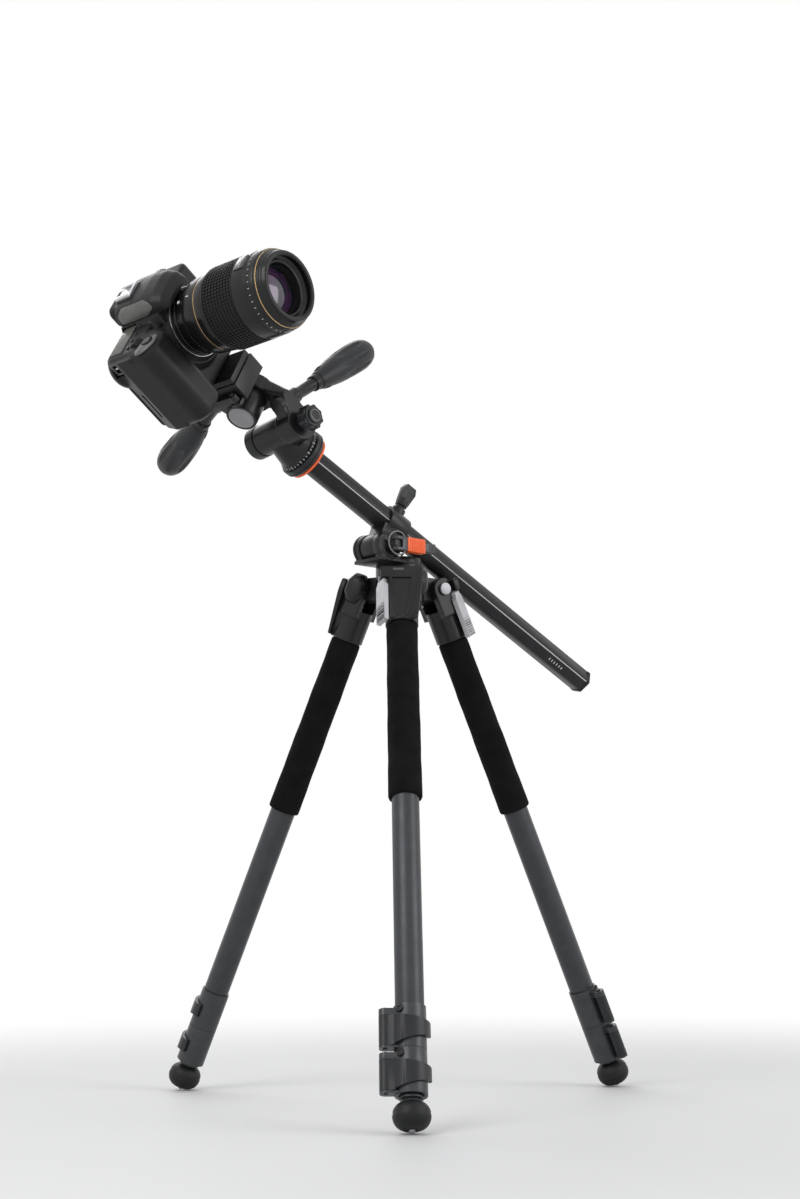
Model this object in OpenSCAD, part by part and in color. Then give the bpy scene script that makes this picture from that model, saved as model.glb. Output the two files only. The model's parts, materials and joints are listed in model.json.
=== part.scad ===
// Digital reflex camera with a close-up lens on a three-way pan head, carried by a folding tripod
// whose six-sided centre column is laid over sideways.
// Frame: origin on the floor under the tripod axis, +Z up, the front leg points along -Y.

/* [Legs] */
// Angle between each leg and the vertical
leg_splay = 23.8; // [18:0.2:28]
// Distance from the tripod axis to each leg hinge pin
hinge_radius = 42; // [42:0.5:46]
// Distance from hinge pin to the middle of the foot, along the leg
leg_length = 547.5; // [546:1:600]
// Outside diameter of the upper leg tube
upper_tube_d = 26; // [25:0.5:27]
// Outside diameter of the middle leg tube
middle_tube_d = 22.4; // [21:0.2:22.6]
// Outside diameter of the lower leg tube
lower_tube_d = 18.8; // [16:0.2:19]
// Wall of every leg tube
tube_wall = 1.5; // [1:0.1:1.7]
// Place of the top of the foam grip, from the hinge pin
foam_top = 54.7; // [54:1:70]
// Place of the bottom of the foam grip, from the hinge pin
foam_bottom = 246; // [150:1:300]
// Outside diameter of the foam grip at its top
foam_top_d = 31.6; // [30:0.2:34]
// Outside diameter of the foam grip at its bottom
foam_bottom_d = 33; // [31:0.2:36]

/* [Hinge shoulders] */
// Width of the leg shoulder at the hinge
shoulder_w = 40; // [38:1:42]
// Width of the canopy lug between the shoulder cheeks
lug_w = 23.2; // [20:0.2:24]
// Radius of the rounded lugs and cheeks at the hinge
knuckle_r = 12; // [10:0.5:12.3]
// Hinge pin diameter
hinge_pin_d = 8; // [6:0.5:10]
// Diameter of the round cap on each hinge pin
pin_cap_d = 13; // [11:0.5:15]
// Outside diameter of the tube socket in the shoulder
socket_d = 33; // [31:0.5:34]
// Length of the angle lock lever
angle_lock_l = 48; // [38:1:50]
// Width of the angle lock lever
angle_lock_w = 16; // [12:1:18]
// Thickness of the angle lock lever
angle_lock_t = 4.6; // [3:0.2:5]

/* [Leg locks] */
// Length of each lock collar along the leg
lock_l = 39.5; // [38:0.5:44]
// Outside diameter of each lock collar
lock_d = 29; // [29:0.5:30]
// Distance of the lever pivot from the leg axis, outward from the tripod
lock_pivot_out = 4; // [3:0.5:5]
// Distance of the lever pivot from the leg axis, sideways
lock_pivot_side = 22; // [22:0.5:24]
// Height of each lock lever where it is widest
lever_h = 27; // [22:1:28]
// Thickness of each lock lever
lever_t = 3; // [2.5:0.1:4]
// Height of each lock lever at its free end
lever_tip_h = 12; // [8:1:16]

/* [Feet] */
// Radius of the round edge of the rubber foot
foot_edge_r = 8.4; // [7:0.1:9]
// Distance of the edge's centre from the leg axis
foot_core_r = 8.5; // [7:0.1:10]
// Half height of the straight band of the foot
foot_band = 3.5; // [2:0.1:5]
// Diameter of the steel spike under the foot
spike_d = 6; // [4:0.5:8]
// Diameter of the stem that carries the foot
stem_d = 22; // [20:0.5:24]

/* [Canopy and turret] */
// Radius of the canopy core
canopy_r = 25; // [24:0.5:26]
// Depth of the canopy underside below the hinge pins
canopy_drop = 20; // [17:0.5:24]
// Height of the canopy top face above the hinge pins
canopy_rise = 22; // [20:0.5:24]
// Radius of the well that the turret turns in
well_r = 21.4; // [21:0.1:22]
// Radius of the through hole under the well
throat_r = 16; // [15.5:0.5:17]
// Radius of the turret ring outside
turret_r = 22.5; // [22:0.1:24]
// Height of the turret ring above the canopy
turret_h = 8; // [5:0.5:8.5]
// Depth of the turret's skirt in the well
skirt = 11; // [8:0.5:11.5]
// Thickness of the turret plate under the tilt barrel
plate_t = 3.4; // [2.6:0.2:4]
// Distance of the tilt barrel from the tripod axis
barrel_offset = 33; // [33:0.5:34]
// Height of the tilt barrel axis above the canopy
barrel_rise = 16.5; // [16:0.5:18]
// Length of the tilt barrel, which reaches further on the side of its lock lever
barrel_l = 42; // [40:1:46]
// Offset of the barrel's middle towards its lock lever
barrel_shift = 3; // [0:0.5:4]
// Outside radius of the barrel ends
barrel_r = 15; // [14.5:0.1:15.5]

/* [Centre column] */
// Direction that the lower end of the column points to, seen from above
column_turn = 38.4; // [30:0.2:46]
// Angle of the column below the horizontal
column_drop = 27.3; // [25:0.1:27.5]
// Height of the point where column and tripod axis cross, above the tilt barrel
column_rise = 20; // [20:0.5:23]
// Size of the six-sided column across its flats
column_flats = 24; // [23:0.5:25]
// Turn of the six-sided column about its own axis
column_roll = 8; // [0:1:12]
// Bore of the column tube
column_bore = 21; // [18:0.5:22]
// Length of the column from the crossing to its upper end
column_upper = 132; // [125:1:160]
// Length of the column from the crossing to its lower end
column_lower = 298; // [250:1:340]
// Outside radius of the collar sleeve
sleeve_r = 16.6; // [16:0.1:18]
// Length of the collar sleeve
sleeve_l = 26; // [24:1:30]
// Place of the middle of the sleeve along the column
sleeve_at = -13; // [-14:0.5:-11]

/* [Pan head] */
// Diameter of the orange ring under the head
ring_d = 34; // [32:1:44]
// Thickness of the orange ring
ring_t = 4.2; // [3:0.2:6]
// Diameter of the pan base disc
pan_base_d = 52; // [48:1:56]
// Thickness of the pan base disc
pan_base_t = 9.6; // [8:0.2:11]
// Pan angle of the head
pan_turn = -80.9; // [-90:0.1:-70]
// Roll of the camera to the side
roll_turn = -4.4; // [-8:0.1:4]
// Forward tilt of the camera
tilt_turn = 7.9; // [0:0.1:12]
// Height of the roll axis above the pan base disc
roll_rise = 31.2; // [30:0.4:36]
// Distance from the roll axis up to the tilt axis
tilt_rise = 43.4; // [43:0.2:48]
// Radius of the round lobe on the roll axis
lobe_r = 18; // [16:0.5:18.5]
// Radius of the tilt clamp
clamp_r = 16; // [15:0.5:16.5]
// Radius of the light cap on the tilt clamp
cap_r = 13.6; // [11:0.2:14]
// Angle of both handles below the head
handle_droop = 24; // [18:1:28]
// Distance of the handle axis from the axis that it clamps
handle_offset = 25; // [24.5:0.5:27]
// Reach of the socket that each handle screws into
boss_l = 20; // [16:0.5:24]
// Outside radius of that socket
boss_r = 8; // [7:0.2:8.4]
// Length of the bare shaft of each handle
shaft_l = 44; // [36:1:50]
// Length of the handle grip
grip_l = 94; // [80:1:100]
// Largest diameter of the handle grip
grip_d = 32; // [26:1:33]
// Diameter of the handle shaft
shaft_d = 13.5; // [11:0.5:15]

/* [Camera platform] */
// Height of the camera base above the tilt axis
platform_rise = 48.5; // [45:0.5:56]
// Length of the platform along the lens
platform_l = 56; // [50:1:60]
// Width of the platform across the lens
platform_w = 44; // [40:1:50]
// Thickness of the quick-release plate
quick_plate_t = 12; // [9:0.5:14]

/* [Camera] */
// Height of the camera body at its shoulders
body_h = 93; // [86:1:96]
// Distance from the camera base to the lens axis
lens_height = 59.2; // [57:0.2:62]
// Distance from the tripod socket forward to the lens flange
flange_ahead = 23.5; // [20:0.5:34]
// Body edge on the grip side of the lens
grip_side = 80; // [76:1:84]
// Body edge on the other side of the lens
far_side = 58; // [54:1:66]
// Wall of the camera shells
shell_wall = 2.6; // [2:0.2:3.4]
// Height of the prism housing
prism_h = 20; // [18:0.5:26]
// Width of the prism housing at its foot
prism_w = 56; // [50:1:60]
// Reach of the prism housing in front of the lens flange
prism_ahead = 9; // [4:0.5:11]
// Width of the eyepiece with its rubber cup
eyepiece_w = 36; // [30:1:40]
// Depth of the hand grip in front of the flange
grip_ahead = 8; // [5:0.5:10]

/* [Lens] */
// Length of the lens in front of the flange
lens_l = 121; // [118:1:126]
// Largest radius of the lens
lens_r = 40.2; // [39:0.2:42]
// Radius of the lens where it meets the camera
lens_rear_r = 33; // [31:0.5:34]
// Place of the rear edge of the focus ring
focus_from = 46; // [44:1:50]
// Place of the front edge of the focus ring
focus_to = 84; // [78:1:88]
// Radius of the filter thread
filter_r = 29; // [26:0.5:30]
// Radius of the front glass
glass_r = 22.5; // [18:0.5:24]

/* [Hidden] */
LEGS = ["front", "right", "left"];
LEG_PIECES = ["shoulder", "angle_lock", "upper_tube", "foam_grip", "upper_lock", "upper_lever",
    "middle_tube", "lower_lock", "lower_lever", "lower_tube", "foot"];
$fn = 64;
smooth = 96;

gap = 0.3;              // clearance between bodies that move past each other
bore_gap = 0.1;         // radial clearance of a shaft in its bore
soft_gap = 0.3;         // clearance round the foam
overlap = 1;            // depth by which shapes of one solid run into each other

// Legs, worked out from the sizes above
foot_support = foot_band * cos(leg_splay) + foot_core_r * sin(leg_splay) + foot_edge_r;
hinge_height = leg_length * cos(leg_splay) + foot_support;
canopy_bottom = hinge_height - canopy_drop;
canopy_top = hinge_height + canopy_rise;
foot_half = foot_band + foot_edge_r;
stem_end = leg_length - foot_half;
lower_lock_end = stem_end - 5;
lower_lock_at = lower_lock_end - lock_l;
upper_lock_at = lower_lock_at - gap - lock_l;
upper_tube_top = 24;
middle_tube_top = 78;
lower_tube_top = 104;
socket_end = foam_top - soft_gap;
cheek_t = (shoulder_w - lug_w) / 2 - gap;
panel_inner = knuckle_r + 0.8;
panel_outer = socket_d / 2 + 0.8;
panel_end = 12;
lock_seat = 20;
lock_pin_s = 16;
lock_knuckle_s = 8.9;
lower_ear_t = 2;
lever_bore = 4;
colour_dark = [0.09, 0.09, 0.1];
colour_grey = [0.32, 0.33, 0.35];
colour_light = [0.72, 0.73, 0.75];
colour_orange = [0.93, 0.28, 0.07];

// Turret and column, worked out from the sizes above
turret_top = canopy_top + turret_h;
barrel_height = canopy_top + barrel_rise;
column_cross = barrel_height + column_rise;
barrel_half = 4.9;
lever_tip = 16;
barrel_near = -barrel_l / 2 - barrel_shift;
barrel_far = barrel_l / 2 - barrel_shift;
eye_y = barrel_near - 9.5;
column_corners = column_flats / cos(30);
sleeve_from = sleeve_at - sleeve_l / 2;
sleeve_to = sleeve_at + sleeve_l / 2;
pan_base_from = column_upper + ring_t;
pan_base_to = pan_base_from + pan_base_t;
roll_axis = pan_base_to + roll_rise;
pan_lobe_half = 16;
lobe_from = 21;
lobe_to = 37;
flange_from = 22;
flange_to = 33;
ear_from = 11;
ear_to = 27;
tilt_shaft_d = 14;
roll_shaft_d = 12;
clamp_from = -17;
platform_under = platform_rise - quick_plate_t - gap;

function leg_azimuth(leg) = leg == "front" ? -90 : leg == "right" ? 30 : 150;

// ---- frames: each places its children where a moving group sits ----

module leg_frame(leg) {
    rotate([0, 0, leg_azimuth(leg)])
        translate([hinge_radius, 0, hinge_height])
            rotate([0, -leg_splay, 0]) children();
}

module lock_frame(leg) {
    leg_frame(leg) rotate([0, 0, -60]) children();
}

module turret_frame() {
    rotate([0, 0, column_turn]) children();
}

module column_frame() {
    translate([0, 0, column_cross])
        rotate([0, 0, column_turn])
            rotate([0, column_drop, 0]) children();
}

module head_frame() {
    column_frame() rotate([0, -90, 0]) children();
}

module pan_frame() {
    head_frame() rotate([0, 0, pan_turn]) children();
}

module roll_frame() {
    pan_frame() translate([0, 0, roll_axis]) rotate([roll_turn, 0, 0]) children();
}

module tilt_frame() {
    roll_frame() translate([0, 0, tilt_rise]) rotate([0, tilt_turn, 0]) children();
}

module camera_frame() {
    tilt_frame() translate([0, 0, platform_rise]) children();
}

module lens_frame() {
    camera_frame() translate([flange_ahead, 0, lens_height]) rotate([0, 90, 0]) children();
}

// ---- shared shapes ----

// Cylinder along Y from y0 to y1
module along_y(y0, y1, r) {
    translate([0, y1, 0]) rotate([90, 0, 0]) cylinder(h = y1 - y0, r = r);
}

// Cylinder along X from x0 to x1
module along_x(x0, x1, r) {
    translate([x0, 0, 0]) rotate([0, 90, 0]) cylinder(h = x1 - x0, r = r);
}

// Box given by its lowest and highest corners
module block(low, high) {
    translate(low) cube(high - low);
}

// Round tube hanging down the leg, from one distance to another
module leg_tube(from, to, outer_d, inner_d) {
    translate([0, 0, -to])
        difference() {
            cylinder(h = to - from, d = outer_d);
            translate([0, 0, -overlap]) cylinder(h = to - from + 2 * overlap, d = inner_d);
        }
}

// Solid round bar along the leg, from one distance to another
module leg_rod(from, to, d) {
    translate([0, 0, -to]) cylinder(h = to - from, d = d);
}

// Rectangle with four round corners
module round_rect(low, high, r) {
    translate([low[0] + r, low[1]]) square([high[0] - low[0] - 2 * r, high[1] - low[1]]);
    translate([low[0], low[1] + r]) square([high[0] - low[0], high[1] - low[1] - 2 * r]);
    for (x = [low[0] + r, high[0] - r])
        for (y = [low[1] + r, high[1] - r])
            translate([x, y]) circle(r = r);
}

// Six-sided column outline with rounded corners, a flat side across X
module column_outline(grow) {
    rotate(30 + column_roll) intersection() {
        circle(d = column_corners + 2 * grow / cos(30), $fn = 6);
        circle(d = column_corners * 0.96 + 2 * grow);
    }
}

// ---- legs ----

module shoulder(leg) {
    half = shoulder_w / 2;
    color(colour_grey) leg_frame(leg)
        difference() {
            union() {
                leg_rod(knuckle_r + 8, socket_end, socket_d);
                for (side = [-1, 1])
                    translate([0, side * (half - cheek_t / 2), 0]) {
                        along_y(-cheek_t / 2, cheek_t / 2, knuckle_r);
                        block([-knuckle_r, -cheek_t / 2, -knuckle_r - 16],
                            [panel_inner, cheek_t / 2, 0]);
                    }
                // outer panel, which narrows and sinks into the socket towards its lower end
                intersection() {
                    rotate([90, 0, 90])
                        linear_extrude(socket_d)
                            polygon([[-half, 4], [-half, -6], [-panel_end, -socket_end],
                                [panel_end, -socket_end], [half, -6], [half, 4]]);
                    translate([0, shoulder_w, 0]) rotate([90, 0, 0])
                        linear_extrude(2 * shoulder_w)
                            polygon([[panel_inner, 4], [panel_outer, 4], [panel_outer, -10],
                                [socket_d / 2 - 2.5, -socket_end], [2, -socket_end], [2, -30],
                                [panel_inner, -26]]);
                }
            }
            leg_rod(upper_tube_top - gap, socket_end + overlap, upper_tube_d + 2 * bore_gap);
            // room for the canopy lug and the hinge pin
            along_y(-lug_w / 2 - gap, lug_w / 2 + gap, knuckle_r + 0.6);
            block([-knuckle_r - overlap, -lug_w / 2 - gap, -4],
                [knuckle_r, lug_w / 2 + gap, knuckle_r + overlap]);
            along_y(-half - overlap, half + overlap, hinge_pin_d / 2 + bore_gap);
            // slanted seats, one for the angle lock lever
            for (side = [-60, 60])
                rotate([0, 0, side])
                    block([lock_seat, -30, -socket_end - overlap], [60, 30, 30]);
        }
}

module angle_lock(leg) {
    seat = lock_seat + gap;
    color(colour_light) lock_frame(leg)
        union() {
            rotate([90, 0, 90]) translate([0, 0, seat]) linear_extrude(angle_lock_t) {
                translate([0, -lock_pin_s]) circle(d = angle_lock_w);
                translate([-angle_lock_w / 2, -lock_pin_s - angle_lock_l + angle_lock_w / 2])
                    square([angle_lock_w, angle_lock_l - angle_lock_w / 2]);
            }
            // round bar that the lever turns on
            translate([seat + angle_lock_t / 2, 0, -lock_knuckle_s])
                along_y(-angle_lock_w / 3, angle_lock_w / 3, angle_lock_t / 2);
            // ribs for the fingertip
            for (rib = [0:4])
                translate([seat + angle_lock_t, 0, -lock_pin_s - 20 - 3.4 * rib])
                    along_y(-angle_lock_w / 2 + 1.5, angle_lock_w / 2 - 1.5, 0.7);
        }
}

module upper_tube(leg) {
    color(colour_grey) leg_frame(leg)
        leg_tube(upper_tube_top, upper_lock_at + lock_l - 2, upper_tube_d,
            upper_tube_d - 2 * tube_wall);
}

module foam_grip(leg) {
    color(colour_dark) leg_frame(leg)
        translate([0, 0, -foam_bottom])
            difference() {
                cylinder(h = foam_bottom - foam_top, d1 = foam_bottom_d, d2 = foam_top_d);
                translate([0, 0, -overlap])
                    cylinder(h = foam_bottom - foam_top + 2 * overlap,
                        d = upper_tube_d + 2 * soft_gap);
            }
}

// Where a collar's lever starts, measured along the leg
function lever_start(at) = at + lock_l - 0.5 - lower_ear_t - gap - lever_h;

// Clamp collar with two ears that hold the pivot of its lever
module lock_collar(at, bore_d) {
    ear_r = 5.5;
    low = lever_start(at) + lever_h + gap;
    difference() {
        union() {
            leg_rod(at, at + lock_l, lock_d);
            for (span = [[at + 3.5, lever_start(at) - gap], [low, low + lower_ear_t]])
                translate([0, 0, -span[1]]) {
                    translate([lock_pivot_out, -lock_pivot_side, 0])
                        cylinder(h = span[1] - span[0], r = ear_r);
                    block([lock_pivot_out - ear_r, -lock_pivot_side, 0],
                        [lock_pivot_out + ear_r, -lock_d / 4, span[1] - span[0]]);
                }
        }
        leg_rod(at - overlap, at + lock_l + overlap, bore_d + 2 * bore_gap);
        translate([lock_pivot_out, -lock_pivot_side, 0])
            leg_rod(at - overlap, at + lock_l + overlap, lever_bore + 2 * bore_gap);
    }
}

// Curved lever that wraps the outer side of the collar and tapers to its free end
module lock_lever(at) {
    from = lever_start(at);
    to = from + lever_h;
    inner_r = lock_d / 2 + 2 * gap;
    outer_r = inner_r + lever_t;
    knuckle = 5.6;
    mid = from + lever_h * 0.45;
    root = -66;
    shank = -52;
    // pivot knuckle with its pin
    translate([lock_pivot_out, -lock_pivot_side, 0]) {
        leg_rod(from, to, 2 * knuckle);
        leg_rod(at + 2, at + lock_l, lever_bore);
    }
    // tapering band round the collar
    intersection() {
        difference() {
            leg_rod(from, to, 2 * outer_r);
            leg_rod(from - overlap, to + overlap, 2 * inner_r);
        }
        rotate([90, 0, 90])
            linear_extrude(outer_r + overlap)
                polygon([[-outer_r, -from], [outer_r, -mid + lever_tip_h / 2],
                    [outer_r, -mid - lever_tip_h / 2], [-outer_r, -to]]);
        union() {
            rotate([0, 0, root]) block([0, 0, -to - overlap], [60, 60, -from + overlap]);
            block([1, 0, -to - overlap], [60, 60, -from + overlap]);
        }
    }
    // bridge from the knuckle to the band
    translate([0, 0, -to])
        linear_extrude(lever_h)
            polygon([
                [lock_pivot_out + knuckle * 0.3, -lock_pivot_side - knuckle * 0.9],
                [outer_r * cos(shank), outer_r * sin(shank)],
                [(inner_r + 0.3) * cos(shank), (inner_r + 0.3) * sin(shank)],
                [(inner_r + 0.3) * cos(root), (inner_r + 0.3) * sin(root)],
                [lock_pivot_out + knuckle * 0.3, -lock_pivot_side + knuckle * 0.9]]);
}

module upper_lock(leg) {
    color(colour_grey) leg_frame(leg) lock_collar(upper_lock_at, upper_tube_d);
}

module upper_lever(leg) {
    color(colour_grey) leg_frame(leg) lock_lever(upper_lock_at);
}

module middle_tube(leg) {
    color(colour_grey) leg_frame(leg)
        leg_tube(middle_tube_top, lower_lock_at + lock_l - 2, middle_tube_d,
            middle_tube_d - 2 * tube_wall);
}

module lower_lock(leg) {
    color(colour_grey) leg_frame(leg) lock_collar(lower_lock_at, middle_tube_d);
}

module lower_lever(leg) {
    color(colour_grey) leg_frame(leg) lock_lever(lower_lock_at);
}

module lower_tube(leg) {
    color(colour_grey) leg_frame(leg) {
        leg_tube(lower_tube_top, lower_lock_end + overlap, lower_tube_d,
            lower_tube_d - 2 * tube_wall);
        leg_rod(lower_lock_end + gap, stem_end, stem_d);
    }
}

module foot(leg) {
    color(colour_dark) leg_frame(leg)
        translate([0, 0, -leg_length])
            rotate_extrude() {
                for (side = [-1, 1])
                    translate([foot_core_r, side * foot_band]) circle(r = foot_edge_r);
                translate([0, -foot_half]) square([foot_core_r, 2 * foot_half]);
                translate([foot_core_r, -foot_band]) square([foot_edge_r, 2 * foot_band]);
                translate([0, -foot_half - 3]) square([spike_d / 2, 5]);
            }
}

// ---- canopy, turret and column ----

module canopy() {
    well_depth = 12;
    color(colour_grey) difference() {
        union() {
            translate([0, 0, canopy_bottom])
                cylinder(h = canopy_top - canopy_bottom, r = canopy_r);
            for (leg = LEGS)
                rotate([0, 0, leg_azimuth(leg)]) {
                    translate([hinge_radius, 0, hinge_height])
                        along_y(-lug_w / 2, lug_w / 2, knuckle_r);
                    block([throat_r + overlap, -lug_w / 2, hinge_height - knuckle_r],
                        [hinge_radius, lug_w / 2, hinge_height + knuckle_r]);
                }
        }
        translate([0, 0, canopy_top - well_depth]) cylinder(h = well_depth + overlap, r = well_r);
        translate([0, 0, canopy_bottom - overlap])
            cylinder(h = canopy_top - canopy_bottom, r = throat_r);
        for (leg = LEGS)
            rotate([0, 0, leg_azimuth(leg)])
                translate([hinge_radius, 0, hinge_height])
                    along_y(-lug_w, lug_w, hinge_pin_d / 2 + bore_gap);
    }
}

module hinge_pins() {
    pin_end = shoulder_w / 2 + gap;
    color(colour_light)
        for (leg = LEGS)
            rotate([0, 0, leg_azimuth(leg)])
                translate([hinge_radius, 0, hinge_height]) {
                    along_y(-pin_end, pin_end, hinge_pin_d / 2);
                    along_y(-pin_end - 3, -pin_end, pin_cap_d / 2);
                    along_y(pin_end, pin_end + 2, hinge_pin_d / 2 + 1.5);
                }
}

module turret() {
    base = canopy_top + gap;
    half = barrel_half;
    foot_half_l = barrel_r - 4;
    eye_half = 3.4;
    color(colour_grey) turret_frame() {
        difference() {
            union() {
                translate([0, 0, base]) cylinder(h = turret_top - base, r = turret_r);
                translate([0, 0, canopy_top - skirt])
                    cylinder(h = skirt + gap + overlap, r = well_r - 2 * bore_gap);
                block([-barrel_offset - foot_half_l - 2, barrel_near, base],
                    [-turret_r / 2, barrel_far, base + plate_t]);
                for (middle = [barrel_near + half, barrel_far - half])
                    translate([-barrel_offset, middle, 0]) {
                        translate([0, 0, barrel_height]) along_y(-half, half, barrel_r);
                        block([-foot_half_l, -half, base], [foot_half_l, half, barrel_height]);
                    }
                // eye that holds the pivot of the lock lever
                block([-barrel_offset - eye_half, eye_y - eye_half, barrel_height - eye_half],
                    [-barrel_offset + eye_half, barrel_near + overlap, barrel_height + eye_half]);
            }
            translate([0, 0, canopy_top - skirt - overlap])
                cylinder(h = turret_top - canopy_top + skirt + barrel_r, r = turret_r - 2.7);
            translate([-barrel_offset, 0, barrel_height])
                along_y(barrel_near + 2 * half, barrel_far - 2 * half, barrel_r - 0.5);
            translate([-barrel_offset, eye_y, barrel_height - 2 * eye_half])
                cylinder(h = 4 * eye_half, d = lever_bore + 2 * bore_gap);
        }
        // bolt through the barrel
        translate([-barrel_offset, 0, barrel_height])
            along_y(barrel_near + overlap, barrel_far - overlap, hinge_pin_d / 2);
    }
}

module tilt_lever() {
    high = 7.5;
    grip_end = 36;
    color(colour_light) turret_frame()
        translate([-barrel_offset, eye_y, barrel_height]) {
            translate([0, 0, -high]) cylinder(h = 2 * high, d = lever_bore);
            for (z = [-high, high - 3.6])
                translate([0, 0, z]) {
                    cylinder(h = 3.6, r = 5);
                    block([0, -5, 0], [8, 4.4, 3.6]);
                }
            block([5, -5, -high], [grip_end, 4.4, high]);
            // slimmer tip
            block([grip_end - overlap, -3.4, -high + 2], [grip_end - overlap + lever_tip, 3, high - 3]);
        }
}

// Barrel axis seen from the column's own frame, along and across the column
barrel_along = -barrel_offset * cos(column_drop)
    + (column_cross - barrel_height) * sin(column_drop);
barrel_across = -barrel_offset * sin(column_drop)
    - (column_cross - barrel_height) * cos(column_drop);

module column_collar() {
    knuckle_from = barrel_near + 2 * barrel_half + gap;
    knuckle_to = barrel_far - 2 * barrel_half - gap;
    boss_top = sleeve_r + 4;
    color(colour_grey) column_frame()
        difference() {
            union() {
                along_x(sleeve_from, sleeve_to, sleeve_r);
                translate([barrel_along, 0, barrel_across])
                    along_y(knuckle_from, knuckle_to, barrel_r - overlap);
                block([barrel_along - 9, knuckle_from, barrel_across],
                    [barrel_along + 11, knuckle_to, -sleeve_r / 2]);
                knob_frame() cylinder(h = boss_top, r = 7.5);
            }
            translate([-column_upper, 0, 0]) rotate([0, 90, 0])
                linear_extrude(column_upper + column_lower) column_outline(gap);
            translate([barrel_along, 0, barrel_across])
                along_y(-barrel_l, barrel_l, hinge_pin_d / 2 + bore_gap);
            knob_frame() cylinder(h = boss_top + overlap, r = 4 + bore_gap);
        }
}

// Frame of the clamp knob: its screw presses on a flat side of the column
module knob_frame() {
    translate([sleeve_at - 1, 0, 0]) rotate([column_roll, 0, 0]) children();
}

module collar_knob() {
    stem_from = column_flats / 2 + 2 * gap;
    head_from = sleeve_r + 8;
    head_l = 24;
    color(colour_dark) column_frame()
        knob_frame() {
            translate([0, 0, stem_from]) cylinder(h = head_from + 4 - stem_from, r = 4);
            translate([0, 0, head_from]) {
                cylinder(h = 8, r = 6.5);
                // two flat wings, wider at the top
                rotate([90, 0, 0]) translate([0, 0, -3.5]) linear_extrude(7)
                    polygon([[-6, 2], [-8.5, head_l - 6], [-6, head_l], [6, head_l],
                        [8.5, head_l - 6], [6, 2]]);
            }
        }
}

module column() {
    length = column_upper + column_lower;
    plug = 4;
    color(colour_dark) column_frame()
        translate([-column_upper, 0, 0]) rotate([0, 90, 0]) {
            difference() {
                linear_extrude(length) column_outline(0);
                translate([0, 0, plug]) cylinder(h = length - 2 * plug, d = column_bore);
            }
            // stud that carries the head
            translate([0, 0, -ring_t - 5]) cylinder(h = ring_t + 5 + overlap, r = 4.7);
        }
}

module column_ring() {
    color(colour_orange) head_frame()
        translate([0, 0, column_upper])
            difference() {
                cylinder(h = ring_t, d = ring_d);
                translate([0, 0, -overlap]) cylinder(h = ring_t + 2 * overlap, r = 4.7 + bore_gap);
            }
}

// ---- pan head ----

module pan_base() {
    color(colour_dark) head_frame()
        difference() {
            union() {
                translate([0, 0, pan_base_from])
                    cylinder(h = pan_base_t / 3, d1 = pan_base_d - 5, d2 = pan_base_d);
                translate([0, 0, pan_base_from + pan_base_t / 3])
                    cylinder(h = pan_base_t * 2 / 3, d = pan_base_d);
                translate([0, 0, pan_base_to - overlap]) cylinder(h = 10, r = 5);
            }
            translate([0, 0, pan_base_from - overlap]) cylinder(h = 5 + overlap + gap,
                r = 4.7 + bore_gap);
        }
}

module pan_body() {
    foot_d = pan_base_d - 5;
    color(colour_grey) pan_frame()
        difference() {
            union() {
                translate([0, 0, pan_base_to + gap]) cylinder(h = 4, d = foot_d);
                translate([0, 0, pan_base_to + gap + 3])
                    cylinder(h = roll_rise - 8, r1 = 22.5, r2 = 17);
                translate([0, 0, roll_axis]) along_x(-flange_from + gap, pan_lobe_half, 16);
            }
            translate([0, 0, pan_base_to - overlap]) cylinder(h = 12, r = 5 + bore_gap);
            translate([0, 0, roll_axis])
                along_x(-flange_from - overlap, lobe_to, roll_shaft_d / 2 + bore_gap);
            // room for the lobe of the yoke
            translate([0, 0, roll_axis]) along_x(pan_lobe_half, lobe_to, lobe_r + 2 * gap);
        }
}

// Tube that a handle screws into, tangent to the part that the handle clamps
module handle_boss(back) {
    translate([0, 0, handle_offset]) along_x(back, boss_l, boss_r);
    block([back, -boss_r + 1, 0], [13, boss_r - 1, handle_offset]);
}

// Frame of the handle: X along the handle, Z from the clamped axis out to the handle
module roll_handle_frame() {
    roll_frame() translate([(lobe_from + lobe_to) / 2, 0, 0])
        rotate([0, 0, 90]) rotate([0, handle_droop, 0]) children();
}

module tilt_handle_frame() {
    tilt_frame() translate([0, -6, 0]) rotate([0, 0, 180]) rotate([0, handle_droop, 0]) children();
}

// Handle with a bare shaft and a fat rubber grip
module handle() {
    boss_end = boss_l;
    cone_l = 12;
    core = grip_l - grip_d * 0.75;
    translate([0, 0, handle_offset]) {
        along_x(boss_end + gap, boss_end + shaft_l, shaft_d / 2);
        along_x(boss_end + gap, boss_end + 8, shaft_d / 2 + 1.6);
        translate([boss_end + shaft_l - 6, 0, 0]) rotate([0, 90, 0]) {
            cylinder(h = cone_l, d1 = shaft_d + 4, d2 = grip_d * 0.68);
            translate([0, 0, cone_l])
                cylinder(h = core - 2 * cone_l, d1 = grip_d * 0.68, d2 = grip_d);
            translate([0, 0, core - cone_l]) cylinder(h = cone_l, d = grip_d);
            translate([0, 0, core]) intersection() {
                cylinder(h = grip_l - core, d = grip_d);
                translate([0, 0, -grip_d * 0.1]) sphere(r = grip_d * 0.8);
                sphere(r = (grip_l - core));
            }
        }
    }
}

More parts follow.
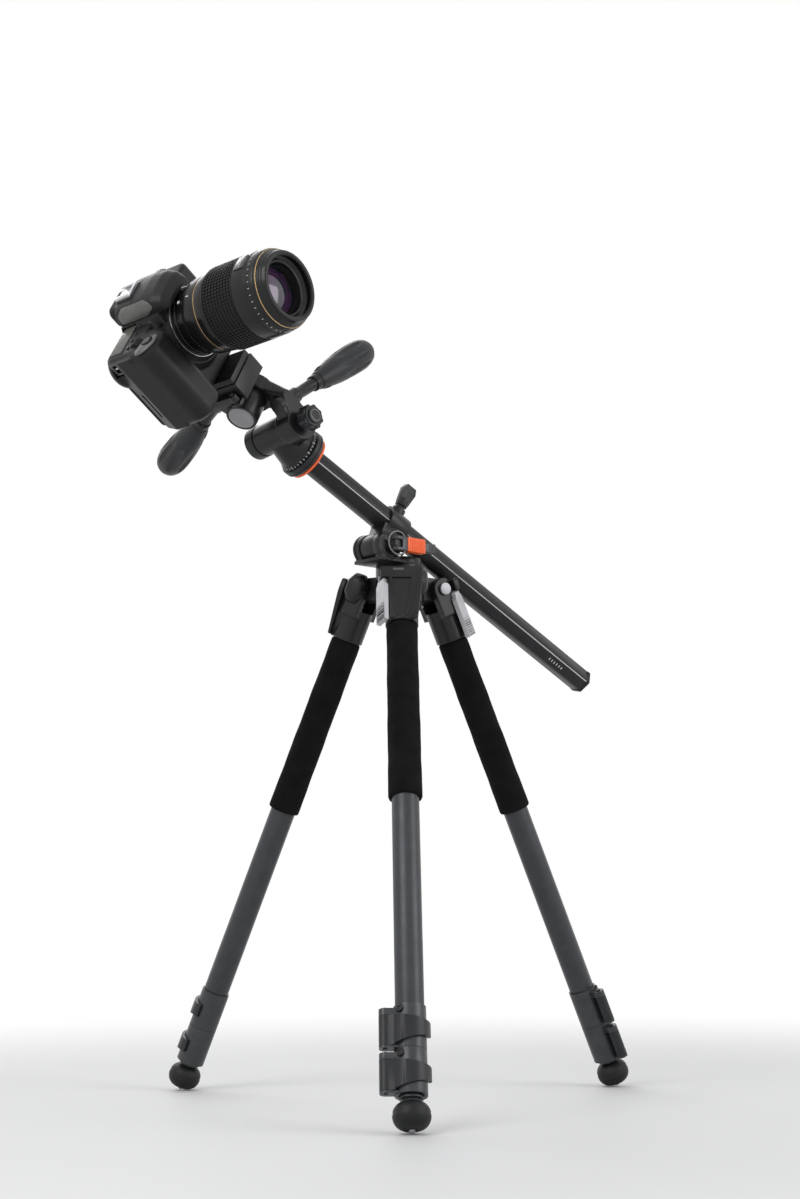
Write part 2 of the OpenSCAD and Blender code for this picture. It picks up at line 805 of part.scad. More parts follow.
module roll_yoke() {
    ear_r = 20;
    color(colour_grey) roll_frame()
        difference() {
            union() {
                along_x(pan_lobe_half + gap, lobe_to, lobe_r);
                // neck that rises from the lobe and turns into the ear, clear of the tilt clamp
                difference() {
                    union() {
                        hull() {
                            translate([0, 3, 4]) along_x(lobe_from, lobe_to, 13, $fn = 32);
                            translate([0, 13, 26]) along_x(lobe_from, lobe_to, 6, $fn = 32);
                        }
                        hull() {
                            translate([0, 13, 26]) along_x(lobe_from, lobe_to, 6, $fn = 32);
                            translate([4, 0, tilt_rise - 4])
                                along_y(ear_from, ear_to, 15, $fn = 32);
                        }
                    }
                    translate([0, 0, tilt_rise])
                        along_y(clamp_from, ear_from, clamp_r + 5);
                }
                translate([0, 0, tilt_rise]) along_y(ear_from, ear_to, ear_r);
                translate([0, 0, tilt_rise])
                    along_y(clamp_from + gap, ear_from + overlap, tilt_shaft_d / 2);
                translate([(lobe_from + lobe_to) / 2, 0, 0]) rotate([0, 0, 90])
                    rotate([0, handle_droop, 0]) handle_boss(-13);
            }
            along_x(0, lobe_to + overlap, roll_shaft_d / 2 + bore_gap);
        }
}

module roll_knob() {
    neck_to = lobe_to + 5;
    knob_to = neck_to + 13;
    rib_inset = 1.2;
    color(colour_dark) roll_frame() {
        along_x(-flange_to, neck_to, roll_shaft_d / 2);
        along_x(-flange_to, -flange_from, lobe_r - 1.5);
        along_x(lobe_to + gap, neck_to + overlap, 8);
        along_x(neck_to, knob_to, 10.6);
        along_x(knob_to - overlap, knob_to + 2, 8);
        for (lobe = [0:7])
            rotate([45 * lobe + 20, 0, 0]) translate([0, 0, 10])
                along_x(neck_to + rib_inset, knob_to - rib_inset, 2.8);
    }
}

module roll_handle() {
    color(colour_dark) roll_handle_frame() handle();
}

module tilt_handle() {
    color(colour_dark) tilt_handle_frame() handle();
}

module tilt_clamp() {
    half_w = platform_w / 2;
    rear = -platform_l / 2 + 1;
    front = platform_l / 2 + 1;
    floor_top = platform_under - 4.2;
    rail_top = platform_under + 5.5;
    color(colour_dark) {
        tilt_frame()
            difference() {
                union() {
                    along_y(clamp_from, ear_from - gap, clamp_r);
                    block([-clamp_r + 3, clamp_from, 0], [clamp_r - 6, ear_from - gap, floor_top - 5]);
                    block([rear, -half_w, floor_top - 10], [front, half_w, floor_top]);
                    for (side = [-1, 1])
                        block([rear, side * (half_w - 2.6) - 2.6, floor_top - overlap],
                            [front, side * (half_w - 2.6) + 2.6, rail_top]);
                    // raised lip in front of the quick-release plate
                    block([front - 5, -half_w, floor_top - overlap], [front, half_w, rail_top]);
                    // peg of the release lever
                    block([14, -half_w - 9, floor_top - 10], [26, -half_w + overlap, floor_top - 6.5]);
                    translate([20, -half_w - 4.5, floor_top - 8]) cylinder(h = 12, r = 2);
                    translate([0, -6, 0]) rotate([0, 0, 180]) rotate([0, handle_droop, 0])
                        handle_boss(0);
                }
                along_y(clamp_from - overlap, ear_from + overlap, tilt_shaft_d / 2 + bore_gap);
            }
    }
}

module tilt_cap() {
    color(colour_light) tilt_frame() along_y(clamp_from - 1.7, clamp_from, cap_r);
}

module plate_lever() {
    half_w = platform_w / 2;
    floor_top = platform_under - 4.2;
    color(colour_dark) tilt_frame()
        translate([20, -half_w - 4.5, floor_top - 6.2])
            difference() {
                union() {
                    cylinder(h = 8, r = 4.2);
                    block([-30, -3.4, 0], [0, 1.6, 8]);
                }
                translate([0, 0, -overlap]) cylinder(h = 12, r = 2 + bore_gap);
            }
}

module quick_plate() {
    half_w = platform_w / 2;
    rear = -platform_l / 2 + 1;
    front = platform_l / 2 - 4 - gap;
    floor_top = platform_under - 4.2;
    rail_top = platform_under + 5.5;
    color(colour_dark) tilt_frame() {
        block([rear, -half_w + 5.2 + gap, floor_top + gap], [front, half_w - 5.2 - gap,
            rail_top + gap + overlap]);
        block([rear, -half_w + 1, rail_top + gap], [front + 4, half_w - 1, platform_rise]);
        // screw that holds the camera
        translate([0, 0, platform_rise - overlap]) cylinder(h = 6, r = 3.1);
    }
}

// ---- camera ----

rear_x = -31;
front_x = flange_ahead - 14;
grip_x = flange_ahead + grip_ahead;
grip_w = 42;
cover_t = 2.5;
throat = 26;
button_at = [flange_ahead - 1, -grip_side + 16];
dial_at = [-13, far_side - 20];

// Body seen from above: a round-cornered slab with the hand grip in front
module body_outline(inset, rear) {
    round_rect([rear, -grip_side + 6 + inset], [front_x - inset, far_side - inset], 8 - inset);
    round_rect([-10 + inset, -grip_side + inset], [grip_x - inset, -grip_side + grip_w - inset],
        13 - inset);
}

module camera_body() {
    flange_r = min(lens_rear_r + 2, body_h - lens_height - gap);
    color(colour_dark) camera_frame()
        difference() {
            union() {
                difference() {
                    union() {
                        linear_extrude(body_h) body_outline(0, rear_x);
                        translate([0, 0, lens_height])
                            along_x(front_x - shell_wall, flange_ahead, flange_r);
                    }
                    translate([0, 0, shell_wall])
                        linear_extrude(body_h - 2 * shell_wall)
                            body_outline(shell_wall, rear_x - 20);
                    translate([0, 0, lens_height]) along_x(0, flange_ahead + overlap, throat);
                }
                // wells under the shutter button and the mode dial, and round the tripod socket
                translate([button_at[0], button_at[1], body_h - 9]) cylinder(h = 8, r = 8);
                translate([dial_at[0], dial_at[1], body_h - 9]) cylinder(h = 8, r = 6);
                cylinder(h = 9, r = 9);
            }
            translate([button_at[0], button_at[1], body_h - 7]) cylinder(h = 8, r = 5.5);
            translate([dial_at[0], dial_at[1], body_h - 7]) cylinder(h = 8, r = 3 + bore_gap);
            translate([0, 0, -overlap]) cylinder(h = 7.4, r = 3.1 + bore_gap);
        }
}

module rear_cover() {
    color(colour_dark) camera_frame() {
        rotate([90, 0, 90]) translate([0, 0, rear_x - cover_t])
            linear_extrude(cover_t)
                round_rect([-grip_side + 7, 1], [far_side - 1, body_h - 1], 7);
        // eyepiece with its rubber cup
        difference() {
            rotate([90, 0, 90]) translate([0, 0, rear_x - cover_t - 9])
                linear_extrude(cover_t + 9)
                    round_rect([-eyepiece_w / 2, body_h - 5],
                        [eyepiece_w / 2, body_h + prism_h - 2], 6);
            rotate([90, 0, 90]) translate([0, 0, rear_x - cover_t - 10])
                linear_extrude(8)
                    round_rect([7 - eyepiece_w / 2, body_h], [eyepiece_w / 2 - 7, body_h + prism_h - 7],
                        3);
        }
    }
}

module prism_housing() {
    top = body_h + prism_h;
    front = flange_ahead + prism_ahead;
    half = prism_w / 2;
    color(colour_dark) camera_frame()
        intersection() {
            translate([0, prism_w, 0]) rotate([90, 0, 0]) linear_extrude(2 * prism_w)
                polygon([[rear_x, body_h], [rear_x, top], [flange_ahead - 6, top],
                    [flange_ahead + 3, top - 3], [front, top - 12], [front, body_h + 3.5],
                    [flange_ahead, body_h + 3.5], [flange_ahead, body_h]]);
            translate([rear_x - overlap, 0, 0]) rotate([90, 0, 90])
                linear_extrude(front - rear_x + 2 * overlap)
                    polygon([[-half, body_h], [2 - half, body_h + 7], [10 - half, top],
                        [half - 9, top], [half - 2, body_h + 7], [half, body_h]]);
        }
}

module hot_shoe() {
    top = body_h + prism_h;
    color(colour_light) camera_frame()
        difference() {
            block([rear_x + 1, -10.5, top], [rear_x + 20, 10.5, top + 3.6]);
            block([rear_x, -9.4, top + 1], [rear_x + 18, 9.4, top + 2.8]);
            block([rear_x, -6.2, top + 1], [rear_x + 18, 6.2, top + 5]);
        }
}

module mode_dial() {
    color(colour_dark) camera_frame() translate([dial_at[0], dial_at[1], body_h]) {
        translate([0, 0, -6]) cylinder(h = 7, r = 3);
        translate([0, 0, gap]) cylinder(h = 7, r = 9.5);
    }
}

module shutter_button() {
    color(colour_dark) camera_frame()
        translate([button_at[0], button_at[1], body_h - 5]) cylinder(h = 7, r = 5.2);
}

module lens_barrel() {
    seat_r = lens_r - 3.4;
    glass_seat = lens_l - 20;
    color(colour_dark) lens_frame()
        rotate_extrude($fn = smooth)
            polygon([
                [throat, 0], [lens_rear_r, 0], [lens_rear_r, 13], [lens_rear_r + 3.6, 20],
                [lens_r - 1.4, focus_from], [seat_r, focus_from], [seat_r, focus_to],
                [lens_r, focus_to], [lens_r - 0.6, lens_l - 20], [lens_r - 2.2, lens_l - 11],
                [lens_r - 4, lens_l - 8], [filter_r + 4.2, lens_l], [filter_r, lens_l],
                [filter_r, lens_l - 6], [glass_r, lens_l - 10], [glass_r, glass_seat],
                [glass_r - 2, glass_seat], [glass_r - 2, glass_seat - 3],
                [throat, glass_seat - 5]]);
}

module focus_ring() {
    color(colour_dark) lens_frame()
        translate([0, 0, focus_from + gap])
            difference() {
                cylinder(h = focus_to - focus_from - 2 * gap, r = lens_r, $fn = smooth);
                translate([0, 0, -overlap])
                    cylinder(h = focus_to, r = lens_r - 3.4 + gap, $fn = smooth);
            }
}

module front_glass() {
    dome = 45;
    rim = lens_l - 19.8;
    color([0.25, 0.22, 0.3]) lens_frame()
        intersection() {
            translate([0, 0, rim]) cylinder(h = 11, r = glass_r - bore_gap);
            translate([0, 0, rim + 10.8 - dome]) sphere(r = dome, $fn = smooth);
        }
}

// ---- drawing ----

for (leg = LEGS) {
    shoulder(leg);
    angle_lock(leg);
    upper_tube(leg);
    foam_grip(leg);
    upper_lock(leg);
    upper_lever(leg);
    middle_tube(leg);
    lower_lock(leg);
    lower_lever(leg);
    lower_tube(leg);
    foot(leg);
}
canopy();
hinge_pins();
turret();
column_collar();
collar_knob();
tilt_lever();
column();
column_ring();
pan_base();
pan_body();
roll_yoke();
roll_knob();
roll_handle();
tilt_clamp();
tilt_cap();
tilt_handle();
plate_lever();
quick_plate();
camera_body();
rear_cover();
prism_housing();
hot_shoe();
mode_dial();
shutter_button();
lens_barrel();
focus_ring();
front_glass();
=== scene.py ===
"""Looks of a reflex camera with a close-up lens, its pan head and its folding tripod.

Every piece is modelled in millimetres in the frame of the group that it belongs to, and is then set in its
place in metres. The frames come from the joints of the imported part, so a piece sits where its joint turns.
"""

from __future__ import annotations

import json
import logging
import math
from collections.abc import Iterator, Sequence
from contextlib import contextmanager
from dataclasses import dataclass
from enum import Enum

import bpy
from mathutils import Matrix, Vector


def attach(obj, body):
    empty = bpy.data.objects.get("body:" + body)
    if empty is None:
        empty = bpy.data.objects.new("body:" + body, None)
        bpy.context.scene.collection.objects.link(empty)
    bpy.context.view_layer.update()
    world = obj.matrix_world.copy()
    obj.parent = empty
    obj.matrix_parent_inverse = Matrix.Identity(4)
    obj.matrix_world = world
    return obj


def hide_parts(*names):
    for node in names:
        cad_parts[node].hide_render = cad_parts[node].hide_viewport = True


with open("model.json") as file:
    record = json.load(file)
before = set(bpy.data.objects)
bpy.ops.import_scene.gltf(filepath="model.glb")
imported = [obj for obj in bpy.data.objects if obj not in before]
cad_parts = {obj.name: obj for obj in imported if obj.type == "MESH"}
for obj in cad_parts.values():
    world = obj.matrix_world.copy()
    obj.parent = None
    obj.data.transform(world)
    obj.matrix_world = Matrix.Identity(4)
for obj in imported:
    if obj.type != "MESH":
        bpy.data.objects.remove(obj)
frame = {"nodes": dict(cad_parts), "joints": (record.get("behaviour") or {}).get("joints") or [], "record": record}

MM = 0.001
LEGS = ("front", "right", "left")
log = logging.getLogger("looks")

Point2 = tuple[float, float]
Point3 = tuple[float, float, float]
Outline = list[Point2]


# ---- places -------------------------------------------------------------------------------------------


@dataclass(frozen=True)
class Place:
    """A turned frame: local millimetres on the bench, metres in the part."""

    origin: Vector
    turn: Matrix

    @classmethod
    def on(cls, origin: Vector, y: Vector, z: Vector) -> Place:
        """Makes a frame from its origin and two of its axes.

        Args:
            origin: Where the frame sits, in metres.
            y: Direction of its second axis.
            z: Direction of its third axis.

        Returns:
            The frame, with its first axis across the other two.
        """
        second, third = y.normalized(), z.normalized()
        first = second.cross(third).normalized()
        second = third.cross(first)
        return cls(origin.copy(), Matrix((first, second, third)).transposed())

    @property
    def matrix(self) -> Matrix:
        """The frame as a matrix that takes local millimetres to metres."""
        return Matrix.Translation(self.origin) @ (self.turn * MM).to_4x4()

    def axis(self, index: int) -> Vector:
        """Returns the direction of one local axis, 0 to 2."""
        return self.turn.col[index].copy()

    def moved(self, x: float = 0.0, y: float = 0.0, z: float = 0.0) -> Place:
        """Returns the same frame, moved by local millimetres."""
        return Place(self.origin + self.turn @ Vector((x, y, z)) * MM, self.turn)

    def turned(self, axis: str, degrees: float) -> Place:
        """Returns the same frame, turned about one of its own axes."""
        return Place(self.origin, self.turn @ Matrix.Rotation(math.radians(degrees), 3, axis))

    def extent(self, *nodes: str) -> tuple[Vector, Vector]:
        """Measures nodes of the part in this frame.

        Args:
            nodes: Names of the nodes.

        Returns:
            The lowest and the highest corner, in local millimetres.
        """
        back = self.matrix.inverted()
        points = [back @ v.co for n in nodes for v in frame["nodes"][n].data.vertices]
        low = Vector(min(p[i] for p in points) for i in range(3))
        high = Vector(max(p[i] for p in points) for i in range(3))
        return low, high


class Rig:
    """The frames of every moving group, read from the joints of the part.

    Millimetres from a joint's point back to where its group starts: the yoke's shaft, the lens mount and the
    shoulders of the handles.
    """

    roll_back = 29.0
    lens_back = 60.0
    handle_back = 40.0

    def __init__(self) -> None:
        """Reads the joints."""
        self.joints = {j["name"]: j for j in frame["joints"]}
        self.floor = Place(Vector(), Matrix.Identity(3))
        up = Vector((0.0, 0.0, 1.0))
        self.turret = Place.on(Vector(), -self._axis("column_tilt"), up)
        along = -self._axis("column_slide")
        pan = self._spot("head_pan")
        level = self.turret.axis(1)
        self.column = Place.on(self._over_centre(pan, along), level, along.cross(level))
        self.head = Place.on(self.column.origin, self.column.axis(1), -along)
        roll_x = self._axis("head_roll")
        tilt_y = self._axis("head_tilt")
        shaft = self._spot("head_roll") - roll_x * self.roll_back * MM
        self.roll = Place.on(shaft, tilt_y, roll_x.cross(tilt_y))
        self.pan = Place.on(self.head.origin, self.head.axis(2).cross(roll_x), self.head.axis(2))
        self.tilt = Place.on(self._spot("head_tilt"), tilt_y, self._axis("camera_lift"))
        base = self.tilt.extent("camera_body")[0].z
        self.camera = self.tilt.moved(z=base)
        lens_z = self._axis("focus_turn")
        self.lens = Place.on(self._spot("focus_turn") - lens_z * self.lens_back * MM, tilt_y, lens_z)
        self.roll_handle = self._handle("roll_handle_twist", -roll_x)
        self.tilt_handle = self._handle("tilt_handle_twist", -tilt_y)

    def _axis(self, joint: str) -> Vector:
        """Returns a joint's axis."""
        return Vector(self.joints[joint]["axis"])

    def _spot(self, joint: str) -> Vector:
        """Returns a point on a joint's axis, in metres."""
        return Vector(self.joints[joint]["pos_m"])

    def _handle(self, joint: str, across: Vector) -> Place:
        """Returns the frame of a handle.

        Args:
            joint: The joint that it twists on.
            across: Direction of the frame's second axis.

        Returns:
            The frame, with its first axis along the handle.
        """
        twist = self._axis(joint)
        return Place.on(self._spot(joint) - twist * self.handle_back * MM, across, twist.cross(across))

    @staticmethod
    def _over_centre(point: Vector, along: Vector) -> Vector:
        """Returns the point of a line that lies on the tripod axis."""
        level = Vector((along.x, along.y))
        return point - along * (Vector((point.x, point.y)).dot(level) / level.length_squared)

    def leg(self, name: str) -> Place:
        """Returns the frame of a leg: origin at its hinge pin, X outward, Z up the leg."""
        hinge = f"{name}_leg_hinge"
        return Place.on(self._spot(hinge), -self._axis(hinge), -self._axis(f"{name}_middle_slide"))


# ---- shader sums --------------------------------------------------------------------------------------


class Wire:
    """One socket of a shader, or what is worked out from it, as a Python value."""

    def __init__(self, graph: Graph, socket: bpy.types.NodeSocket) -> None:
        """Wraps a socket of a graph."""
        self.graph = graph
        self.socket = socket

    def __add__(self, other: Number) -> Wire:
        """Adds a number or a wire."""
        return self.graph.math("ADD", self, other)

    def __mul__(self, other: Number) -> Wire:
        """Multiplies with a number or a wire."""
        return self.graph.math("MULTIPLY", self, other)

    __radd__ = __add__
    __rmul__ = __mul__

    def apply(self, operation: str, *others: Number) -> Wire:
        """Runs any other Math operation on the wire."""
        return self.graph.math(operation, self, *others)

    def step(self, low: float, high: float) -> Wire:
        """Rises smoothly between two values.

        Args:
            low: Where it is still 0.
            high: Where it has reached 1.

        Returns:
            The risen wire.
        """
        node = self.graph.node(
            "ShaderNodeMapRange",
            {"interpolation_type": "SMOOTHSTEP", "clamp": True},
            {"Value": self, "From Min": low, "From Max": high, "To Min": 0.0, "To Max": 1.0},
        )
        return Wire(self.graph, node.outputs["Result"])


Number = Wire | float | int


class Graph:
    """The nodes of a material or of the world."""

    material: bpy.types.Material
    shader: bpy.types.Node

    def __init__(self, tree: bpy.types.NodeTree, output: str) -> None:
        """Empties a tree and gives it an output.

        Args:
            tree: The tree.
            output: Type of the output node.
        """
        self.tree = tree
        tree.nodes.clear()
        self.output = tree.nodes.new(output)

    @classmethod
    def of_material(cls, name: str) -> Graph:
        """Starts a material with one principled shader.

        Args:
            name: Name of the material.

        Returns:
            The material's nodes.
        """
        material = bpy.data.materials.new(name)
        material.use_nodes = True
        graph = cls(material.node_tree, "ShaderNodeOutputMaterial")
        graph.material = material
        graph.shader = graph.tree.nodes.new("ShaderNodeBsdfPrincipled")
        graph.end(graph.shader)
        return graph

    @classmethod
    def of_world(cls, world: bpy.types.World) -> Graph:
        """Starts the nodes of a world."""
        return cls(world.node_tree, "ShaderNodeOutputWorld")

    def end(self, shader: bpy.types.Node) -> None:
        """Links a shader to the output."""
        self.tree.links.new(shader.outputs[0], self.output.inputs["Surface"])

    def either(self, share: Wire, first: bpy.types.Node, second: bpy.types.Node) -> bpy.types.Node:
        """Mixes two shaders by a share of 0 to 1."""
        shaders = {1: Wire(self, first.outputs[0]), 2: Wire(self, second.outputs[0])}
        return self.node("ShaderNodeMixShader", None, {0: share, **shaders})

    def seen(self) -> Wire:
        """Tells what is looked at from what only gives light.

        Returns:
            1 for what the camera sees itself, or in metal or through glass, and 0 for light.
        """
        rays = self.node("ShaderNodeLightPath")
        camera, glossy, through = (
            Wire(self, rays.outputs[f"Is {ray} Ray"]) for ray in ("Camera", "Glossy", "Transmission")
        )
        return camera.apply("MAXIMUM", glossy).apply("MAXIMUM", through)

    def node(
        self,
        kind: str,
        settings: dict[str, object] | None = None,
        values: dict[str | int, object] | None = None,
    ) -> bpy.types.Node:
        """Adds a node.

        Args:
            kind: Type of the node.
            settings: The node's own settings, which are set first.
            values: What its inputs get: a value or a wire.

        Returns:
            The node.
        """
        made = self.tree.nodes.new(kind)
        for key, value in (settings or {}).items():
            setattr(made, key, value)
        for key, value in (values or {}).items():
            self.feed(made.inputs[key], value)
        return made

    def feed(self, socket: bpy.types.NodeSocket, value: object) -> None:
        """Sets a socket to a value, or links a wire to it.

        Args:
            socket: The socket.
            value: The value or the wire.
        """
        if isinstance(value, Wire):
            self.tree.links.new(value.socket, socket)
        else:
            socket.default_value = value

    def math(self, operation: str, *values: Number) -> Wire:
        """Adds a Math node and returns its result."""
        made = self.node("ShaderNodeMath", {"operation": operation}, dict(enumerate(values)))
        return Wire(self, made.outputs[0])

    def spot(self, place: Place | None) -> Wire:
        """Finds the point of the surface in local millimetres.

        Args:
            place: The frame, or none for the part's own.

        Returns:
            The point.
        """
        point = Wire(self, self.node("ShaderNodeTexCoord").outputs["Object"])
        back = place.matrix.inverted() if place else Matrix.Scale(1 / MM, 4)
        where, turn, size = back.decompose()
        made = self.node(
            "ShaderNodeMapping",
            {"vector_type": "POINT"},
            {"Vector": point, "Location": where, "Rotation": turn.to_euler(), "Scale": size},
        )
        return Wire(self, made.outputs[0])

    def parts(self, point: Wire) -> tuple[Wire, Wire, Wire]:
        """Splits a point into its three parts."""
        made = self.node("ShaderNodeSeparateXYZ", None, {0: point})
        return tuple(Wire(self, made.outputs[i]) for i in range(3))

    def scaled(self, point: Wire, x: float, y: float, z: float) -> Wire:
        """Stretches a point by a factor for each part."""
        made = self.node("ShaderNodeVectorMath", {"operation": "MULTIPLY"}, {0: point, 1: (x, y, z)})
        return Wire(self, made.outputs[0])

    def noise(self, point: Wire, size: float, detail: float = 3.0, rough: float = 0.55) -> Wire:
        """Adds a noise texture.

        Args:
            point: The point of the surface.
            size: Size of its features, in millimetres.
            detail: How many finer layers lie over it.
            rough: How strong those layers are.

        Returns:
            Noise of about 0 to 1.
        """
        made = self.node(
            "ShaderNodeTexNoise", None,
            {"Vector": point, "Scale": 1 / size, "Detail": detail, "Roughness": rough},
        )
        return Wire(self, made.outputs["Fac"])

    def cells(self, point: Wire, size: float) -> Wire:
        """Returns the distance to the nearest cell point, for cells of about a size in millimetres."""
        made = self.node("ShaderNodeTexVoronoi", None, {"Vector": point, "Scale": 1 / size})
        return Wire(self, made.outputs["Distance"])

    def blend(self, share: Number, first: object, second: object) -> Wire:
        """Mixes two colours by a share of 0 to 1."""
        made = self.node("ShaderNodeMix", {"data_type": "RGBA"}, {0: share, 6: first, 7: second})
        return Wire(self, made.outputs[2])

    def bump(self, height: Wire, depth: float) -> Wire:
        """Returns the normal of a relief.

        Args:
            height: Relief of about 0 to 1.
            depth: Its depth in millimetres.

        Returns:
            The normal.
        """
        made = self.node("ShaderNodeBump", None, {"Height": height, "Distance": depth * MM, "Strength": 1.0})
        return Wire(self, made.outputs[0])

    def give(self, **inputs: object) -> None:
        """Sets inputs of the principled shader; underscores stand for spaces."""
        for key, value in inputs.items():
            self.feed(self.shader.inputs[key.replace("_", " ").title().replace("Ior", "IOR")], value)


def rgba(red: float, green: float, blue: float) -> tuple[float, float, float, float]:
    """Returns an opaque colour."""
    return (red, green, blue, 1.0)


def shade(colour: Sequence[float], factor: float) -> tuple[float, float, float, float]:
    """Returns a colour, made lighter or darker by a factor."""
    return rgba(*(min(1.0, c * factor) for c in colour[:3]))


# ---- finishes -----------------------------------------------------------------------------------------


@dataclass(frozen=True)
class Finish:
    """A moulded or painted surface with a fine grain."""

    name: str
    slot: str
    colour: tuple[float, float, float]
    roughness: float = 0.5
    metallic: float = 0.0
    grain: float = 0.35
    depth: float = 0.03
    mottle: float = 0.12
    coat: float = 0.0
    coat_roughness: float = 0.2
    specular: float = 0.5

    def material(self, place: Place | None = None) -> bpy.types.Material:
        """Makes the material.

        Args:
            place: Frame that directions in the finish follow.

        Returns:
            The material.
        """
        graph = Graph.of_material(self.name)
        point = graph.spot(place)
        height = self.relief(graph, point)
        graph.give(
            base_color=self.tint(graph, point),
            roughness=self.dulled(graph, point),
            metallic=self.metallic,
            normal=graph.bump(height, self.depth),
            coat_weight=self.coat,
            coat_roughness=self.coat_roughness,
            specular_ior_level=self.specular,
        )
        return graph.material

    def relief(self, graph: Graph, point: Wire) -> Wire:
        """Returns the fine relief of the surface."""
        return graph.noise(point, self.grain, 2.0)

    def tint(self, graph: Graph, point: Wire) -> Wire:
        """Mixes the colour, which varies a little.

        Args:
            graph: The material's nodes.
            point: The point of the surface.

        Returns:
            The colour.
        """
        cloud = graph.noise(point, 14.0, 4.0)
        fine = graph.noise(point, self.grain * 2.5, 2.0)
        share = (cloud * 0.7 + fine * 0.3).step(0.3, 0.7)
        return graph.blend(share, shade(self.colour, 1 - self.mottle), shade(self.colour, 1 + self.mottle))

    def dulled(self, graph: Graph, point: Wire) -> Wire:
        """Returns the roughness, with faint smudges."""
        smudge = graph.noise(point, 22.0, 5.0, 0.6).step(0.35, 0.7)
        return smudge * (self.roughness * 0.22) + self.roughness * 0.89


@dataclass(frozen=True)
class Brushed(Finish):
    """Metal with fine lines along the local Z axis."""

    length: float = 40.0

    def relief(self, graph: Graph, point: Wire) -> Wire:
        """Returns long fine lines."""
        return graph.noise(graph.scaled(point, 1.0, 1.0, 1 / self.length), self.grain, 2.0)


@dataclass(frozen=True)
class Lathed(Finish):
    """Metal with fine rings about the local Z axis."""

    pitch: float = 0.5

    def relief(self, graph: Graph, point: Wire) -> Wire:
        """Draws fine rings.

        Args:
            graph: The material's nodes.
            point: The point of the surface.

        Returns:
            The relief.
        """
        x, y, z = graph.parts(point)
        radius = (x * x + y * y).apply("SQRT")
        wobble = graph.noise(point, 6.0, 2.0) * 0.8
        wave = ((radius + z + wobble) * (2 * math.pi / self.pitch)).apply("SINE")
        return wave * 0.3 + graph.noise(point, self.grain, 2.0)


@dataclass(frozen=True)
class Foam(Finish):
    """Closed-cell foam: dead matt, with tiny open cells."""

    def relief(self, graph: Graph, point: Wire) -> Wire:
        """Returns open cells over a soft unevenness."""
        cell = graph.cells(point, self.grain).apply("MINIMUM", 0.6)
        return cell * 0.9 + graph.noise(point, 9.0, 3.0) * 2.0


@dataclass(frozen=True)
class PaintedReflectionGlass(Finish):
    """Dark glass with the coating's coloured reflection painted into its colour in patches: painted reflection."""

    deep: tuple[float, float, float] = (0.006, 0.008, 0.02)

    def tint(self, graph: Graph, point: Wire) -> Wire:
        """Returns patches of painted reflection, in the coating's colour, over the deep one."""
        # painted reflection: noise patches of the coating's purple reflection mixed into the base colour
        reflection_patches = graph.noise(point, 14.0, 1.0).step(0.42, 0.62)
        return graph.blend(reflection_patches, rgba(*self.deep), rgba(*self.colour))


